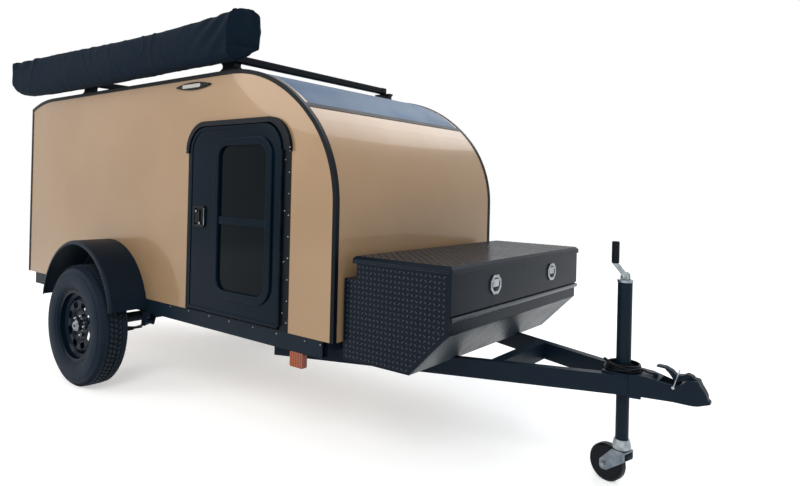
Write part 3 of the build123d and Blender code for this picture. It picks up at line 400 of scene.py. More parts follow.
def makeMetal(name, dark, light, patch, grainScale, smoothest, dullest, bump):
    material, tree, shader = newMaterial(name, Metallic=1.0)
    cloud = cloudy(tree, placeIn(tree), patch, 5.0)
    grain = grouped(tree, fineGrain, Scale=grainScale, Low=smoothest, High=dullest)
    fill(tree, shader, Base_Color=mixed(tree, ramp(tree, cloud, 0.35, 0.65), dark, light),
         Roughness=grain["Roughness"], Normal=bumped(tree, grain["Height"], bump, 0.0004))
    return material


def makeLens(name, dark, light, direction, ribs):
    material, tree, shader = newMaterial(name, Roughness=0.12, IOR=1.49, Coat_Weight=0.2, Coat_Roughness=0.05,
                                         Specular_IOR_Level=0.3)
    wave = ribbed(tree, placeIn(tree), direction, ribs)
    fill(tree, shader, Base_Color=mixed(tree, wave, dark, light), Normal=bumped(tree, wave, 0.5, 0.0015))
    return material


def makeGlass(name, dark, light):
    material, tree, shader = newMaterial(name, Transmission_Weight=0.3, IOR=1.2, Coat_Weight=0.05,
                                         Coat_Roughness=0.02, Specular_IOR_Level=0.08)
    cloud = cloudy(tree, placeIn(tree), 2.2)
    fill(tree, shader, Base_Color=mixed(tree, cloud, dark, light), Roughness=levels(tree, cloud, 0.02, 0.07))
    return material


def makeCloth(name, dark, light, scuffed):
    # heavy coated canvas: a plain weave, faint patches and scuffed threads
    material, tree, shader = newMaterial(name, Specular_IOR_Level=0.06)
    place = placeIn(tree)
    threads = [ribbed(tree, place, direction, 420.0, Distortion=0.4) for direction in "XZ"]
    weave = sums(tree, "MULTIPLY", *threads)
    patch = cloudy(tree, place, 6.0, 6.0, Roughness=0.6)
    base = mixed(tree, ramp(tree, patch, 0.35, 0.7), dark, light)
    broad = bumped(tree, cloudy(tree, place, 26.0, 4.0), 0.35, 0.004)
    fill(tree, shader, Base_Color=mixed(tree, sums(tree, "MULTIPLY", weave, 0.3), base, scuffed),
         Roughness=levels(tree, patch, 0.6, 0.85), Normal=bumped(tree, weave, 0.25, 0.0005, Normal=broad))
    return material


def makeWood(name, dark, light):
    material, tree, shader = newMaterial(name)
    stretch = nodeIn(tree, "Mapping", Vector=placeIn(tree), Scale=(2.0, 26.0, 26.0))
    grain = cloudy(tree, stretch.outputs[0], 2.0, 6.0, Distortion=0.6)
    fill(tree, shader, Base_Color=mixed(tree, ramp(tree, grain, 0.35, 0.65), dark, light),
         Roughness=levels(tree, grain, 0.4, 0.6), Normal=bumped(tree, grain, 0.2, 0.001))
    return material


# for each slot, what its maker takes and in that order: name, colours from dark to light, then the rest
paintValues = {
    "body_paint": ("bodyPaint", (0.35, 0.222, 0.122), (0.385, 0.248, 0.14),
                   0.15, 0.35, 0.2, 0.3, 0.36, 0.1, 0.9),
    "roof_paint": ("roofPaint", (0.03, 0.08, 0.165), (0.045, 0.11, 0.21),
                   0, 0, 0.12, 0.38, 0.46, 0, 0.9),
    "wheel_paint": ("wheelPaint", (0.001, 0.006, 0.013), (0.002, 0.009, 0.019),
                    0, 0.05, 0.04, 0.22, 0.35, 0.02, 0.6),
    "door_skin": ("doorSkin", (0.001, 0.006, 0.013), (0.002, 0.009, 0.018),
                  0, 0.03, 0.05, 0.12, 0.2, 0.01, 0.9),
}
coatedValues = {
    "black_frame": ("frameCoat", (0.003, 0.009, 0.017), (0.006, 0.014, 0.025),
                    700, 0.34, 0.5, 0.2, 0.02, 0.1),
    "black_trim": ("trimCoat", (0.002, 0.004, 0.007), (0.003, 0.006, 0.01), 900, 0.34, 0.46, 0.15, 0.01, 0.1),
    "dark_plastic": ("darkPlastic", (0.002, 0.003, 0.005), (0.004, 0.006, 0.009),
                     1200, 0.34, 0.5, 0.3, 0.01, 0.12),
    "tyre": ("tyreRubber", (0.007, 0.014, 0.024), (0.011, 0.02, 0.034), 600, 0.5, 0.75, 0.3, 0.02, 0.1,
             {"hub": (-axleBack, 0, wheelHeight / 1000), "from": 0.3425, "colour": (0.018, 0.027, 0.034)}),
    "tread_plate": ("treadCoat", (0.002, 0.006, 0.012), (0.004, 0.009, 0.017),
                    800, 0.2, 0.32, 0.1, 0.01, 0.1),
    # paler bars: a painted highlight on the raised tread bars, the lid's edge bars and the ridge strip
    "bars_painted_highlight": ("raisedBars", (0.022, 0.032, 0.046), (0.04, 0.054, 0.072),
                    800, 0.18, 0.3, 0.05, 0.01, 0.5),
    # pale foot bars and sheet: a painted reflection of the bright ground on the box's sloping underside
    "foot_bars_painted_reflection": ("footPlate", (0.1, 0.12, 0.135), (0.16, 0.185, 0.2), 500, 0.25, 0.45, 0.1, 0.02, 0.4),
    "foot_sheet_painted_reflection": ("footSheet", (0.022, 0.032, 0.04), (0.034, 0.046, 0.055), 500, 0.25, 0.45, 0.1, 0.02, 0.2),
}
metalValues = {
    "bright_metal": ("brightMetal", (0.17, 0.19, 0.21), (0.36, 0.38, 0.4), 20, 500, 0.08, 0.2, 0.05),
    "zinc": ("zincPlate", (0.2, 0.24, 0.26), (0.38, 0.42, 0.44), 45, 700, 0.25, 0.5, 0.2),
    "bare_steel": ("castSteel", (0.12, 0.15, 0.18), (0.24, 0.27, 0.3), 30, 500, 0.35, 0.6, 0.35),
}
lensValues = {
    "amber": ("amberLens", (0.14, 0.022, 0.005), (0.4, 0.085, 0.016), "X", 22),
    "red_lens": ("redLens", (0.16, 0.003, 0.005), (0.34, 0.01, 0.014), "Z", 30),
    "pale_lens": ("paleLens", (0.36, 0.34, 0.31), (0.62, 0.6, 0.56), "X", 35),
}
glassValues = {"tinted_glass": ("tintedGlass", (0.001, 0.004, 0.007), (0.002, 0.008, 0.012))}
clothValues = {"bag_cloth": ("bagCloth", (0.002, 0.007, 0.015), (0.004, 0.012, 0.023), (0.008, 0.019, 0.032))}
woodValues = {"plywood": ("plywood", (0.42, 0.28, 0.15), (0.62, 0.46, 0.29))}

materials = {}
for make, table in ((makePaint, paintValues), (makeCoated, coatedValues), (makeMetal, metalValues),
                    (makeLens, lensValues), (makeGlass, glassValues), (makeCloth, clothValues),
                    (makeWood, woodValues)):
    for slotName, row in table.items():
        materials[slotName] = make(*row)

slotOf = {part["node"]: part["material_slot"] for part in frame["record"]["subparts"]}
for nodeName, obj in frame["nodes"].items():
    for holder in obj.material_slots:
        holder.material = materials[slotOf[nodeName]]
print("materials:", len(materials))


# Wiring lead: out of the coupler's clip, coiled round the jack, and into its plug

leadValues = {
    "start": [(2926, -8, 474), (2906, -8, 476), (2888, -14, 483), (2877, -27, 487)],
    "middle": (2808, 0),
    # turn in degrees, distance from the jack's middle, height
    "turns": [(-40, 73.5, 485), (-110, 73, 474.5), (-390, 71.5, 474.5), (-460, 60, 474.5), (-750, 59, 475),
              (-820, 66, 483), (-1110, 66, 483), (-1180, 63, 491), (-1500, 64, 491)],
    "end": [(2788, -71, 497), (2775.3, -65.3, 502), (2767.5, -56.1, 502.5)],
    "step": 24, "loose": 0.7, "radius": 4, "seed": 4, "length": 1.79,
}


def makeLead(values):
    random.seed(values["seed"])
    points = [at(*point) for point in values["start"]]
    x, y = values["middle"]
    for (turn, away, height), (nextTurn, nextAway, nextHeight) in zip(values["turns"], values["turns"][1:]):
        count = max(1, round((turn - nextTurn) / values["step"]))
        for number in range(count):
            share = number / count
            angle = math.radians(turn + (nextTurn - turn) * share)
            reach = away + (nextAway - away) * share + random.uniform(-1, 1) * values["loose"]
            rise = height + (nextHeight - height) * share
            points.append(at(x + reach * math.cos(angle), y + reach * math.sin(angle), rise))
    points += [at(*point) for point in values["end"]]
    lead = curveAlong("wiringLead", points, "NURBS", values["radius"], 3, 5)
    setUp(lead.data.splines[0], order_u=3, use_endpoint_u=True)
    placed(lead, "trailer", "dark_plastic")
    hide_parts("lead_tube", "lead_coil")
    total = sum((b - a).length for a, b in zip(points, points[1:]))
    print("lead done, length of its runs:", round(total, 3))


makeLead(leadValues)


# Awning bag: canvas over a rolled awning, hung on the ends of the roof bars

bagValues = {
    # across and height of the section's corners
    "section": [(-570, 1829.8), (-560, 1920), (-566, 2006), (-600, 2021), (-645, 2021), (-685, 2014),
                (-726, 2002), (-745, 1970), (-758, 1925), (-766, 1880), (-766, 1835), (-760, 1790),
                (-742, 1765), (-712, 1759), (-675, 1772), (-640, 1792), (-613, 1813), (-600, 1829.8)],
    # the heights that the stations stretch, and the part that rests on the bars
    "span": (1762, 2003), "rest": 1829.8, "restEdge": -641, "middle": (-662, 1893),
    # x, size, top and bottom of the near edge, lift of the low side
    "stations": [(1203, 1.0, 2007, 1762, 0), (1185, 1.0, 2006, 1762, 0), (1120, 1.0, 2001, 1765, 0),
                 (870, 0.98, 1994, 1768, 2), (560, 0.975, 1991, 1765, 2), (250, 0.975, 1993, 1762, 4),
                 (-100, 0.98, 2001, 1759, 6), (-400, 0.985, 2009, 1757, 6), (-800, 0.99, 2012, 1760, 8),
                 (-1080, 0.99, 2012, 1768, 14), (-1200, 0.99, 2011, 1782, 24), (-1273, 1.0, 2011, 1800, 36),
                 (-1311, 1.0, 2010, 1838, 50)],
    # the near top edge squares up to y, from one x on over a length
    "square": {"y": -764, "corner": (-700, 1900), "from": -300, "over": 900},
    "voxel": 0.011, "frames": 20, "gravity": 0.25,
    "cloth": {"quality": 4, "mass": 0.3, "use_pressure": True, "uniform_pressure_force": 0.9,
              "tension_stiffness": 12, "compression_stiffness": 12, "bending_stiffness": 0.08,
              "shrink_min": -0.07},
    # where the cover is held: beside each bar, low down, and all along its inner edge
    "held": {"bars": (1030, -450), "near": 0.04, "below": 1.84, "inside": -0.62, "edge": -0.572},
    # how far the air may move the cover, less within a zone at each end
    "reach": 0.011, "endReach": 0.0025, "endZone": 90,
    "seam": 1.9, "seamLift": 0.0006, "seamPoints": 60, "seamPlaces": [1193, -1300],
}
foldValues = {  # depths in millimetres
    "broad": 4.0, "ridges": 4.4, "corner": 5.0, "rearSide": 1.6, "frontEnd": 3.6, "crease": 4.0,
    "rearTop": 3.6,
}


def bagSpot(values, point, x, scale, top, bottom, rise):
    # one corner of the section at a station, stretched between that station's top and bottom
    lowest, highest = values["span"]
    middle = values["middle"][0]
    square = values["square"]
    y, z = point
    if y < square["corner"][0] and z > square["corner"][1]:
        y += (square["y"] - y) * min(1.0, max(0.0, (square["from"] - x) / square["over"]))
    if z > values["rest"] or y < values["restEdge"]:
        z = bottom + (z - lowest) * (top - bottom) / (highest - lowest)
    else:
        z += rise * (highest - z) / (highest - lowest)
    return at(x, middle + (y - middle) * scale, z)


def folds(values, place, out):
    # depth of the cover's folds at a point of its surface, in metres, towards the outside
    x, y, z = (place.x + axleBack) * 1000, place.y * 1000, place.z * 1000
    depth = noise.noise(Vector((x * 0.0023, y * 0.006, z * 0.004 + 3))) * values["broad"]
    ridge = 1 - 2.6 * abs(noise.noise(Vector((x * 0.0085 + z * 0.006, y * 0.01, z * 0.0045 - x * 0.002))))
    patch = 0.35 + 1.3 * max(0.0, noise.noise(Vector((x * 0.0036 + 9, 1.0, z * 0.0022))))
    depth += max(0.0, ridge) ** 3 * values["ridges"] * patch
    if out.y < -0.3:  # the outer side: slanting pleats at the front top corner, ripples at the rear
        corner = max(0.0, 1 - abs(x - 1090) / 260) * max(0.0, min(1.0, (z - 1770) / 90))
        along = (x - 1199) * 0.66 + (z - 2004) * 0.75
        across = (x - 1199) * 0.75 - (z - 2004) * 0.66
        depth += math.sin(across / 15.5 + math.sin(along / 75) * 0.8) * values["corner"] * corner
        rear = min(1.0, max(0.0, (-1120 - x) / 120))
        depth += math.sin(z / 21 + x / 55) * values["rearSide"] * rear
    if out.x > 0.5:  # the front end: upright pleats, and a crease over the roll
        depth += math.sin((y + 595) / 17 + math.sin(z / 55) * 0.7) * values["frontEnd"] - values["frontEnd"]
        depth -= values["crease"] * math.exp(-((z - 1836 - (y + 640) * 0.1) / 9) ** 2)
    if z > 1960:  # ripples along the top, towards the rear
        rear = min(1.0, max(0.0, (-820 - x) / 150))
        depth += math.sin(x / 23 + math.sin(x / 51)) * values["rearTop"] * rear
    return depth / 1000


def bagShell(values):
    section, stations = values["section"], values["stations"]
    clear()
    bpy.ops.mesh.primitive_circle_add(vertices=len(section), fill_type="NGON")
    bag = settle(bpy.context.object, "awningBag")
    mesh = editing(bag)
    mesh.verts.ensure_lookup_table()
    for vertex, point in zip(mesh.verts, section):
        vertex.co = bagSpot(values, point, *stations[0])
    order = list(mesh.verts)
    for station in stations[1:]:
        loop = [mesh.verts.new(bagSpot(values, point, *station)) for point in section]
        for index in range(len(section)):
            after = (index + 1) % len(section)
            mesh.faces.new((order[index], order[after], loop[after], loop[index]))
        order = loop
    mesh.faces.new(order)
    bpy.ops.mesh.select_all(action="SELECT")
    bpy.ops.mesh.normals_make_consistent(inside=False)
    bmesh.update_edit_mesh(bag.data)
    done()
    return applied(bag, "REMESH", mode="VOXEL", voxel_size=values["voxel"])


def makeBag(values):
    bag = bagShell(values)
    start = [vertex.co.copy() for vertex in bag.data.vertices]
    fillWithAir(bag, values)
    for vertex, rest in zip(bag.data.vertices, start):
        step = vertex.co - rest
        toEnd = min(abs(rest.x - at(values["stations"][end][0], 0, 0).x) for end in (0, -1)) * 1000
        share = min(1.0, toEnd / values["endZone"])
        reach = values["endReach"] + (values["reach"] - values["endReach"]) * share
        if step.length > reach:
            vertex.co = rest + step.normalized() * reach
    applied(bag, "SUBSURF", levels=1, render_levels=1)
    places = [(vertex.co.copy(), vertex.normal.copy()) for vertex in bag.data.vertices]
    for vertex, (place, out) in zip(bag.data.vertices, places):
        vertex.co = place + out * folds(foldValues, place, out)
    smooth(bag, 60)
    placed(bag, "trailer", "bag_cloth")
    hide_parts("awning_bag")
    makeSeams(bag, values)
    return bag


def makeSeams(bag, values):
    # a welt on the cover's own surface, where each end panel is sewn to the sides
    tree = BVHTree.FromObject(bag, bpy.context.evaluated_depsgraph_get())
    welts = []
    for x in values["seamPlaces"]:
        middle = at(x, *values["middle"])
        points = []
        for number in range(values["seamPoints"]):
            angle = 2 * math.pi * number / values["seamPoints"]
            out = Vector((0, math.cos(angle), math.sin(angle)))
            hit = tree.ray_cast(middle + out * 0.4, -out)[0]
            if hit is not None:
                points.append(hit + out * values["seamLift"])
        curve = curveAlong("welt", points, "POLY", values["seam"], 2)
        curve.data.splines[0].use_cyclic_u = True
        welts.append(linked("bagWelt", bpy.data.meshes.new_from_object(curve)))
        bpy.data.objects.remove(curve)
    placed(smooth(joined("bagWelts", welts), 60), "trailer", "bag_cloth")


def fillWithAir(obj, values):
    # a short cloth run that swells the cover
    hold = values["held"]
    held = obj.vertex_groups.new(name="held")
    barPlaces = [at(x, 0, 0).x for x in hold["bars"]]
    for vertex in obj.data.vertices:
        nearBar = min(abs(vertex.co.x - place) for place in barPlaces) < hold["near"]
        low = vertex.co.z < hold["below"] and vertex.co.y > hold["inside"]
        if (nearBar and low) or vertex.co.y > hold["edge"]:
            held.add([vertex.index], 1.0, "REPLACE")
    modifier = obj.modifiers.new("cloth", "CLOTH")
    cloth = setUp(modifier.settings, vertex_group_mass="held", **values["cloth"])
    cloth.effector_weights.gravity = values["gravity"]
    modifier.point_cache.frame_end = values["frames"]
    for number in range(1, values["frames"] + 1):
        scene.frame_set(number)
    choose(obj)
    bpy.ops.object.modifier_apply(modifier="cloth")
    scene.frame_set(1)
    obj.vertex_groups.clear()


awningBag = makeBag(bagValues)
print("awning bag done, faces:", len(awningBag.data.polygons))


# Tyres: a turned carcass with tread blocks set round it

tyreValues = {
    "plane": 807,
    # radius and distance across, from the bead to the middle of the tread
    "carcass": [(206, 64.5), (211, 73), (217, 80), (230, 85.5), (246, 88.3), (262, 89), (281, 88.2),
                (297, 85.5), (311, 80), (322, 73), (331, 65), (337, 58.5), (340.5, 53), (341.5, 46),
                (341, 39.5), (335, 37.5), (335, 0)],
    "ribs": {"sideRib": [(299, 84), (299.5, 86.3), (303, 85.5), (303.5, 82)],
             "beadRib": [(222, 81), (223, 84.2), (226, 85.2), (228, 83)]},
    "steps": 96,
    "pitches": 74,
    # along the tread, across it, length, width, skew and turn of each block in one pitch
    "blocks": [(0.0, -2, 24, 18, 4, 16), (0.4, 24.5, 25, 16, -5, -12), (0.7, -25.5, 25, 18, 5, 12)],
    "base": 333, "top": 344, "taper": 0.9, "rim": 0.004, "dip": -0.001,
    "notches": 148,
    # radius and distance across at the two ends of each notch's two flat ribs
    "notchRuns": [((325.5, 70.6), (334, 62.2)), ((334, 62.4), (340, 54.8))],
    "notchWide": 7.0, "notchTall": 4.8,
}


def aroundAxis(obj, count):
    clear()
    turner = linked("turner", None)
    turner.rotation_euler = (0, 2 * math.pi / count, 0)
    bpy.context.view_layer.update()
    applied(obj, "ARRAY", count=count, use_relative_offset=False, use_object_offset=True,
            offset_object=turner)
    bpy.data.objects.remove(turner)
    return obj


def turned(name, profile, steps):
    # spins a closed line of (radius, across) in millimetres round the Y axis at the origin
    clear()
    bpy.ops.mesh.primitive_plane_add(size=1)
    obj = bpy.context.object
    obj.name = name
    mesh = editing(obj)
    bmesh.ops.delete(mesh, geom=list(mesh.verts), context="VERTS")
    points = [mesh.verts.new((0, across / 1000, radius / 1000)) for radius, across in profile]
    for first, second in zip(points, points[1:] + points[:1]):
        mesh.edges.new((first, second))
    bmesh.update_edit_mesh(obj.data)
    bpy.ops.mesh.select_mode(type="VERT")
    bpy.ops.mesh.select_all(action="SELECT")
    bpy.ops.mesh.spin(steps=steps, angle=2 * math.pi, center=(0, 0, 0), axis=(0, 1, 0))
    bpy.ops.mesh.select_all(action="SELECT")
    bpy.ops.mesh.remove_doubles(threshold=0.00001)
    bpy.ops.mesh.normals_make_consistent(inside=False)
    done()
    return obj


def treadBlock(values, shift, across, length, width, skew, turn):
    # a skewed, tapered block with a shallow dished top, set forward by a share of one pitch
    middle = (values["base"] + values["top"]) / 2000
    clear()
    bpy.ops.mesh.primitive_cube_add(size=1, location=(0, across / 1000, middle))
    obj = bpy.context.object
    obj.scale = (length / 1000, width / 1000, (values["top"] - values["base"]) / 1000)
    settle(obj, "treadBlock")
    mesh = editing(obj)
    swing = math.radians(turn)
    for vertex in mesh.verts:
        x, y = vertex.co.x, vertex.co.y - across / 1000
        x += skew / 1000 * (1 if y > 0 else -1)
        shrink = values["taper"] if vertex.co.z > middle else 1.0
        vertex.co.x = (x * math.cos(swing) - y * math.sin(swing)) * shrink
        vertex.co.y = across / 1000 + (x * math.sin(swing) + y * math.cos(swing)) * shrink
    for face in mesh.faces:
        face.select_set(face.normal.z > 0.9)
    bmesh.update_edit_mesh(obj.data)
    bpy.ops.mesh.inset(thickness=values["rim"], depth=values["dip"])
    done()
    obj.data.transform(Matrix.Rotation(2 * math.pi / values["pitches"] * shift, 4, "Y"))
    return obj


def shoulderNotch(values):
    # a low rib that follows the shoulder's slope in two flat runs
    wide, tall = values["notchWide"], values["notchTall"]
    parts = []
    for (lowRadius, lowAcross), (highRadius, highAcross) in values["notchRuns"]:
        start = Vector((0, lowAcross, lowRadius)) / 1000
        run = Vector((0, highAcross, highRadius)) / 1000 - start
        part = block("notch", Vector((-wide, -tall, 0)) / 2000,
                     Vector((wide / 2000, tall / 2000, run.length)))
        part.data.transform(Matrix.Translation(start) @ run.to_track_quat("Z", "X").to_matrix().to_4x4())
        parts.append(part)
    return joined("notch", parts)


def makeTyre(values):
    half, steps = values["carcass"], values["steps"]
    carcass = turned("tyreCarcass", half + [(radius, -across) for radius, across in half[-2::-1]], steps)
    blocks = joined("treadBlocks", [treadBlock(values, *row) for row in values["blocks"]])
    aroundAxis(blocks, values["pitches"])
    nearParts = [aroundAxis(shoulderNotch(values), values["notches"])]
    nearParts += [turned(name, profile, steps) for name, profile in values["ribs"].items()]
    farParts = [copied(part, acrossMirror) for part in nearParts]
    return joined("tyreRight", [carcass, blocks] + nearParts + farParts)


def placeTyres(values):
    tyre = makeTyre(values)
    tyre.data.transform(Matrix.Translation(at(0, -values["plane"], wheelHeight)))
    right, left = bothSides(smooth(tyre, 30), "wheel_right", "tyre")
    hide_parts("tyre_right")
    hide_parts("tyre_left")


placeTyres(tyreValues)
print("tyres done")


# Painted shade: a dark sheet on the wall inside each fender, where the arch lies in shade

archValues = {"middle": (-55, 395), "radius": 406, "low": 505, "wall": 647.5, "thick": 1.6}


def makeArch(values):
    x, z = values["middle"]
    wall = values["wall"]
    # a thin dark sheet that paints the shade inside the arch
    arch = peg("archCoatRight", x, z, -wall + 1, -wall - values["thick"], values["radius"], 72)
    editing(arch)
    bpy.ops.mesh.select_all(action="SELECT")
    bpy.ops.mesh.bisect(plane_co=at(x, 0, values["low"]), plane_no=(0, 0, 1), use_fill=True, clear_inner=True)
    done()
    bothSides(smooth(softened(arch, 0.8)), "trailer", "black_frame")


makeArch(archValues)
print("arches done")


# Wheel nuts and hub caps

wheelValues = {
    "nutFace": 836, "nutRing": 57, "nutCount": 5, "nutRadius": 11.5, "nutTall": 13, "domeTall": 10,
    "domeShares": (0.82, 0.45),
    "capFace": 876, "capRings": [(20.5, 1.8), (12.0, 1.4)], "plugRadius": 9, "plugShare": 0.8,
}


def makeNut(values):
    radius, tall = values["nutRadius"], values["nutTall"]
    low, high = values["domeShares"]
    top = Vector((0, -tall / 1000, 0))
    flats = rod("nutFlats", Vector((0, 0, 0)), top, radius, 6)
    tip = Vector((0, -(tall + values["domeTall"]) / 1000, 0))
    dome = rod("nutDome", top, tip, radius * low, 16, radius * high)
    return joined("wheelNut", [softened(flats, 1), softened(dome, 2, 3)])


def capRing(radius, thick, face):
    clear()
    bpy.ops.mesh.primitive_torus_add(major_radius=radius / 1000, minor_radius=thick / 1000, major_segments=40,
                                     minor_segments=8, location=at(0, -face, wheelHeight),
                                     rotation=Vector((0, 1, 0)).to_track_quat("Z", "Y").to_euler())
    return settle(bpy.context.object, "capRing")


def placeNuts(values):
    nut = makeNut(values)
    nut.data.transform(Matrix.Translation(Vector((0, 0, values["nutRing"] / 1000))))
    nuts = joined("wheelNutsRight", [
        copied(nut, Matrix.Rotation(2 * math.pi * (number + 0.25) / values["nutCount"], 4, "Y"))
        for number in range(values["nutCount"])])
    bpy.data.objects.remove(nut)
    nuts.data.transform(Matrix.Translation(at(0, -values["nutFace"], wheelHeight)))
    face, radius = values["capFace"], values["plugRadius"]
    caps = joined("capRingsRight", [capRing(*row, face) for row in values["capRings"]])
    tip = radius * values["plugShare"]
    plug = softened(peg("capPlugRight", 0, wheelHeight, -face + 2, -face - 2.5, radius, 24, tip), 0.8)
    for obj, slotName in ((nuts, "bright_metal"), (caps, "bright_metal"), (plug, "dark_plastic")):
        bothSides(smooth(obj), "wheel_right", slotName)


placeNuts(wheelValues)
print("wheel nuts done")


# Jack knuckle, caster nuts and the coupler's lock pin

fittingValues = {
    # cheek: near and far side and radius; pin and washer: reach and radius; foot: depth
    "knuckle": {"x": 2808, "z": 843, "cheek": (15, 19, 14.5), "pin": (23, 4.5), "washer": (19.5, 7.5),
                "foot": 15},
    "caster": {"x": 2808, "turn": -15, "trail": -62, "z": 75, "face": 32, "washer": (1.6, 13),
               "nut": (9, 10.5)},
    "lock": {"low": (3005, -41.5, 444), "high": (3024, -19.5, 512), "radius": 2.4,
             "boss": (3006, 446, -34, -45, 6)},
}


def makeKnuckle(values):
    x, z = values["x"], values["z"]
    near, far, radius = values["cheek"]
    reach, wide = values["washer"]
    parts = []
    for side in (-1, 1):
        ends = sorted((side * near, side * far))
        foot = block("knuckleFoot", at(x - radius, ends[0], z - values["foot"]), at(x + radius, ends[1], z))
        parts += [softened(peg("knuckleCheek", x, z, side * near, side * far, radius, 32), 1.2),
                  softened(foot, 1),
                  softened(peg("washer", x, z, side * far, side * (reach + 1), wide), 0.4)]
    reach, thin = values["pin"]
    parts.append(softened(peg("knucklePin", x, z, -reach, reach, thin, 20), 1.2))
    placed(smooth(joined("knuckleParts", parts)), "trailer", "zinc")


def makeCasterNuts(values):
    thick, washerRadius = values["washer"]
    tall, nutRadius = values["nut"]
    parts = []
    for side in (-1, 1):
        face = Vector((values["trail"], side * values["face"], values["z"])) / 1000
        out = Vector((0, side / 1000, 0))
        top = face + out * thick
        parts += [softened(rod("casterWasher", face, top, washerRadius, 28), 0.4),
                  softened(rod("casterNut", top, face + out * (thick + tall), nutRadius, 6), 1.2)]
    nuts = joined("casterNuts", parts)
    nuts.data.transform(Matrix.Translation(at(values["x"], 0, 0))
                        @ Matrix.Rotation(math.radians(values["turn"]), 4, "Z"))
    placed(smooth(nuts), "caster_yoke", "zinc", "bright_metal")


def makeLockPin(values):
    parts = [softened(rod("lockPin", at(*values["low"]), at(*values["high"]), values["radius"], 14), 0.6),
             softened(peg("lockBoss", *values["boss"], 20), 0.8)]
    placed(smooth(joined("couplerLockPin", parts)), "trailer", "black_frame", "zinc")


makeKnuckle(fittingValues["knuckle"])
makeCasterNuts(fittingValues["caster"])
makeLockPin(fittingValues["lock"])
print("fittings done")


# Small screw heads on hinges, drip caps and rails

screwValues = {
    "radius": 3.6, "tall": 1.5, "crown": 0.6,
    # x, lowest and highest screw, and how many
    "hinges": [(1527, 560, 1330, 9), (1500, 600, 1290, 4)],
    "hingeFace": -650,
    "dripEnds": [(742, -664, 1345), (1541, -664, 1345)],
    "rail": [(602, 505), (772, 506), (951, 505), (1114, 504), (1295, 503), (1462, 501), (1647, 499),
             (1742, 499)],
    "railFace": -647.5,
}


def makeScrews(values):
    radius = values["radius"]
    head = rod("screwHead", Vector((0, 0, -0.0005)), Vector((0, 0, values["tall"] / 1000)), radius, 10,
               radius * values["crown"])
    spots = []
    for x, low, high, count in values["hinges"]:
        spots += [at(x, values["hingeFace"], low + (high - low) * number / (count - 1))
                  for number in range(count)]
    spots += [at(*place) for place in values["dripEnds"]]
    spots += [at(x, values["railFace"], z) for x, z in values["rail"]]
    outwards = Vector((0, -1, 0)).to_track_quat("Z", "Y").to_matrix().to_4x4()
    screws = joined("screwsRight", [copied(head, Matrix.Translation(spot) @ outwards) for spot in spots])
    bpy.data.objects.remove(head)
    bothSides(smooth(screws, 50), "trailer", "zinc")


makeScrews(screwValues)
print("screws done")


# Keys and bright edge of the door latches

keyValues = {"face": -667, "radius": 6.5, "spots": [(846, 1032), (876, 971)], "edge": (911.5, 962, 1050, 1.4)}


def makeKeys(values):
    face = values["face"]
    parts = []
    for x, z in values["spots"]:
        parts += [softened(peg("keyBarrel", x, z, face + 3, face - 1.6, values["radius"]), 0.6),
                  block("keySlot", at(x - 0.8, face - 2.1, z - 3.5), at(x + 0.8, face - 1.2, z + 3.5))]
    x, low, high, radius = values["edge"]
    parts.append(softened(rod("latchEdge", at(x, face + 1.5, low), at(x, face + 1.5, high), radius, 12), 0.6))
    bothSides(smooth(joined("latchKeysRight", parts)), "door_right", "bright_metal")


makeKeys(keyValues)
print("latch keys done")


# Tread plate of the toolbox, its ridge and its latches

treadValues = {
    "pitch": 21.0, "length": 19.0, "width": 5.2, "tall": 1.3, "turn": 45, "crown": 0.55,
    # the end panels stop at the neck under the lid, at the sloping heel and short of the front edge
    "end": {"x": (1842, 2364), "z": (456, 850), "y": -604,
            "neck": (1908, 785), "heel": (2176, 180 / 177), "front": 2350, "rim": 846},
    "lid": {"x": (1896, 2362), "y": (-594, 594), "z": 888},
    "foot": {"y": (-594, 594), "slope": (2182, 450, 2359, 630), "margin": 0.012, "sheet": 0.0008},
    # small bars on the lid's upright edges: start, end, outward direction of each run
    "edge": {"bars": {"pitch": 8.4, "length": 7.6, "width": 2.4, "tall": 0.7}, "margin": 0.005,
             "runs": [((2375, -606, 858.5), (2375, 606, 858.5), (1, 0, 0)),
                      ((1886, -610, 858.5), (2371, -610, 858.5), (0, -1, 0)),
                      ((2371, 610, 858.5), (1886, 610, 858.5), (0, 1, 0))]},
    "ridge": {"low": (2364, -603, 680.5), "high": (2376, 603, 697.5), "round": 5},
    "paddle": {"middles": (-277, 277), "z": 787, "x": (2370, 2374.5), "radius": 31,
               "lip": (-1, 2.5, 22, -21, -12)},  # back, front, half width, bottom, top
}


def treadField(name, across, along, values, keep):
    # bars in a grid in the XY plane, turned alternately, from the origin, where their middle passes the test
    pitch = values["pitch"] / 1000
    bars = []
    for column, row in ((0, 0), (0, 1), (1, 0), (1, 1)):
        clear()
        bpy.ops.mesh.primitive_cone_add(vertices=6, radius1=1, radius2=values["crown"], depth=1,
                                        location=((column + 0.5) * pitch, (row + 0.5) * pitch, 0))
        bar = bpy.context.object
        bar.scale = (values["length"] / 2000, values["width"] / 2000, values["tall"] / 500)
        bar.rotation_euler = (0, 0, math.radians(values["turn"] * (-1 if column == row else 1)))
        bars.append(settle(bar, "treadBar"))
    field = joined(name, bars)
    cell = 2 * pitch
    for size, step in ((across, (cell, 0, 0)), (along, (0, cell, 0))):
        applied(field, "ARRAY", count=max(1, math.ceil(size / cell)), use_relative_offset=False,
                use_constant_offset=True, constant_offset_displace=step)
    mesh = editing(field)
    for face in mesh.faces:
        centre = face.calc_center_median()
        middle = [(math.floor(value / pitch) + 0.5) * pitch for value in (centre.x, centre.y)]
        face.select_set(not keep(*middle))
    bmesh.update_edit_mesh(field.data)
    bpy.ops.mesh.delete(type="FACE")
    done()
    return field


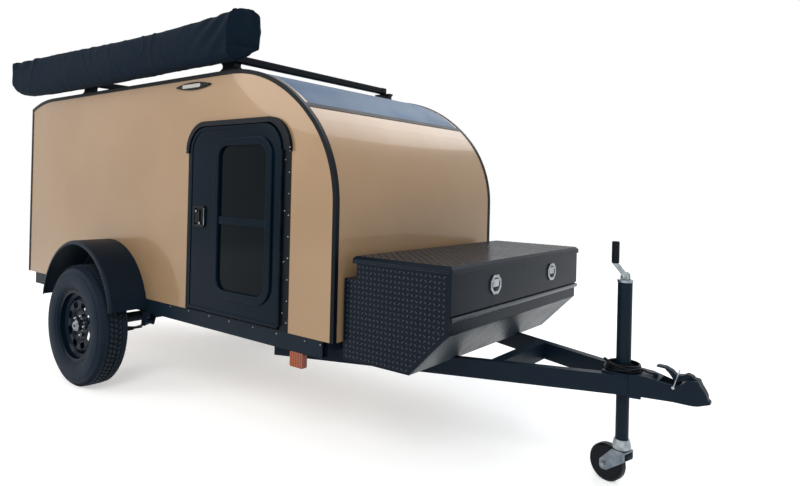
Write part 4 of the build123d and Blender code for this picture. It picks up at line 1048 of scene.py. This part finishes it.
def makeEndPanels(values):
    end = values["end"]
    wide, tall = [(high - low) / 1000 for low, high in (end["x"], end["z"])]

    def onEnd(x, z):
        x, z = end["x"][0] + x * 1000, end["z"][0] + z * 1000
        inNeck = x > end["neck"][0] or z < end["neck"][1]
        inFoot = z > end["z"][0] + max(0, x - end["heel"][0]) * end["heel"][1]
        return x < end["front"] and z < end["rim"] and inNeck and inFoot

    panel = treadField("treadRight", wide, tall, values, onEnd)
    stand = Matrix(((1, 0, 0, 0), (0, 0, -1, 0), (0, 1, 0, 0), (0, 0, 0, 1)))
    panel.data.transform(Matrix.Translation(at(end["x"][0], end["y"], end["z"][0])) @ stand)
    bothSides(panel, "trailer", "tread_plate", "bars_painted_highlight")


def makeLidPlate(values):
    lid = values["lid"]
    long, wide = [(high - low) / 1000 for low, high in (lid["x"], lid["y"])]
    cover = treadField("treadLid", long, wide, values, lambda x, y: x < long and y < wide)
    cover.data.transform(Matrix.Translation(at(lid["x"][0], lid["y"][0], lid["z"])))
    placed(cover, "box_lid", "tread_plate")


def makeLidEdge(values):
    edge = values["edge"]
    small = {**values, **edge["bars"]}
    strips = []
    for start, finish, out in edge["runs"]:
        start, finish = at(*start), at(*finish)
        run = finish - start
        strip = treadField("treadEdge", run.length, 2 * small["pitch"] / 1000, small,
                           lambda x, y: x < run.length - edge["margin"])
        along, out = run.normalized(), Vector(out)
        turn = Matrix((along, out.cross(along), out)).transposed().to_4x4()
        strip.data.transform(Matrix.Translation(start) @ turn)
        strips.append(strip)
    placed(joined("treadLidEdge", strips), "box_lid", "tread_plate", "bars_painted_highlight")


def makeFoot(values):
    # bars and a sheet on the sloping underside of the box's front, in pale colours that are a painted
    # reflection of the bright ground below
    foot = values["foot"]
    x0, z0, x1, z1 = foot["slope"]
    run = Vector((x1 - x0, 0, z1 - z0)) / 1000
    wide = (foot["y"][1] - foot["y"][0]) / 1000
    under = treadField("treadFoot", run.length, wide, values,
                       lambda x, y: x < run.length - foot["margin"] and y < wide)
    along, side = run.normalized(), Vector((0, -1, 0))
    turn = Matrix((along, side, along.cross(side))).transposed().to_4x4()
    sheet = block("footSheet", Vector((0.003, 0.002, 0)),
                  Vector((run.length - 0.004, wide - 0.002, foot["sheet"])))
    for obj, look in ((under, "foot_bars_painted_reflection"), (sheet, "foot_sheet_painted_reflection")):
        obj.data.transform(Matrix.Translation(at(x0, foot["y"][1], z0)) @ turn)
        placed(obj, "trailer", "tread_plate", look)


def makeRidge(values):
    # a strip over the ridge in the paler bar colour, a painted highlight along the ridge's rounded edge
    bar = softened(block("ridgeHighlightStrip", at(*values["low"]), at(*values["high"])), values["round"], 4)
    placed(smooth(bar, 60), "trailer", "tread_plate", "bars_painted_highlight")


def makePaddles(values):
    low, high = values["x"]
    z = values["z"]
    back, front, half, bottom, top = values["lip"]
    parts = []
    for y in values["middles"]:
        plate = rod("paddle", at(low, y, z), at(high, y, z), values["radius"], 8)
        middle = Matrix.Translation(at(0, y, z))
        plate.data.transform(middle @ Matrix.Rotation(math.radians(22.5), 4, "X") @ middle.inverted())
        lip = block("paddleLip", at(high + back, y - half, z + bottom), at(high + front, y + half, z + top))
        parts += [softened(plate, 1.2, 3), softened(lip, 1.2, 3)]
    placed(smooth(joined("latchPaddles", parts)), "trailer", "bright_metal", "dark_plastic")


for make in (makeEndPanels, makeLidPlate, makeLidEdge, makeFoot):
    make(treadValues)
makeRidge(treadValues["ridge"])
makePaddles(treadValues["paddle"])
print("tread plate done")


# Floor, lamps and world

stageValues = {
    "floorSize": 80.0, "floorColour": (0.86, 0.86, 0.86), "floorGlow": 0.48,
    "worldLight": 0.62, "worldColour": (0.93, 0.97, 1.0),
    # place, target, size, power and colour
    "lamps": [
        ((4.5, -6.0, 6.0), (0.2, 0.0, 0.8), 4.0, 260, (1.0, 0.98, 0.95)),
        ((-5.0, -6.5, 4.0), (-0.5, 0.0, 0.9), 4.0, 150, (1.0, 0.97, 0.93)),
        ((0.0, 5.0, 6.0), (0.0, 0.0, 0.8), 5.0, 140, (0.92, 0.96, 1.0)),
    ],
}


def cameraShare(tree):
    # 1 where the camera, a mirror reflection or a view through glass meets the surface
    path = nodeIn(tree, "LightPath").outputs
    share = sums(tree, "MAXIMUM", path["Is Camera Ray"], path["Is Glossy Ray"])
    return sums(tree, "MAXIMUM", share, path["Is Transmission Ray"])


def makeFloor(values):
    clear()
    bpy.ops.mesh.primitive_plane_add(size=values["floorSize"], location=(0, 0, 0))
    floor = settle(bpy.context.object, "studioFloor")
    material, tree, shader = newMaterial("floorMatte", Roughness=0.9, Specular_IOR_Level=0.1,
                                         Emission_Color=(1, 1, 1, 1))
    pale = tuple(channel * 1.01 for channel in values["floorColour"])
    fill(tree, shader, Base_Color=mixed(tree, cloudy(tree, placeIn(tree), 3.0), values["floorColour"], pale),
         Emission_Strength=sums(tree, "MULTIPLY", cameraShare(tree), values["floorGlow"]))
    floor.data.materials.append(material)


def makeLight(values):
    for index, (place, target, size, power, colour) in enumerate(values["lamps"]):
        name = f"softLamp{index}"
        lamp = linked(name, bpy.data.lights.new(name, "AREA"))
        setUp(lamp.data, shape="DISK", size=size, energy=power, color=colour)
        lamp.location = place
        lamp.rotation_euler = (Vector(target) - Vector(place)).to_track_quat("-Z", "Y").to_euler()
    world = bpy.data.worlds.new("studioWorld")
    world.use_nodes = True
    tree = world.node_tree
    share = cameraShare(tree)
    fill(tree, tree.nodes["Background"], Color=mixed(tree, share, values["worldColour"], (1, 1, 1)),
         Strength=levels(tree, share, values["worldLight"], 1.0))
    scene.world = world
    scene.view_settings.view_transform = "Standard"


makeFloor(stageValues)
makeLight(stageValues)
print("stage ready")
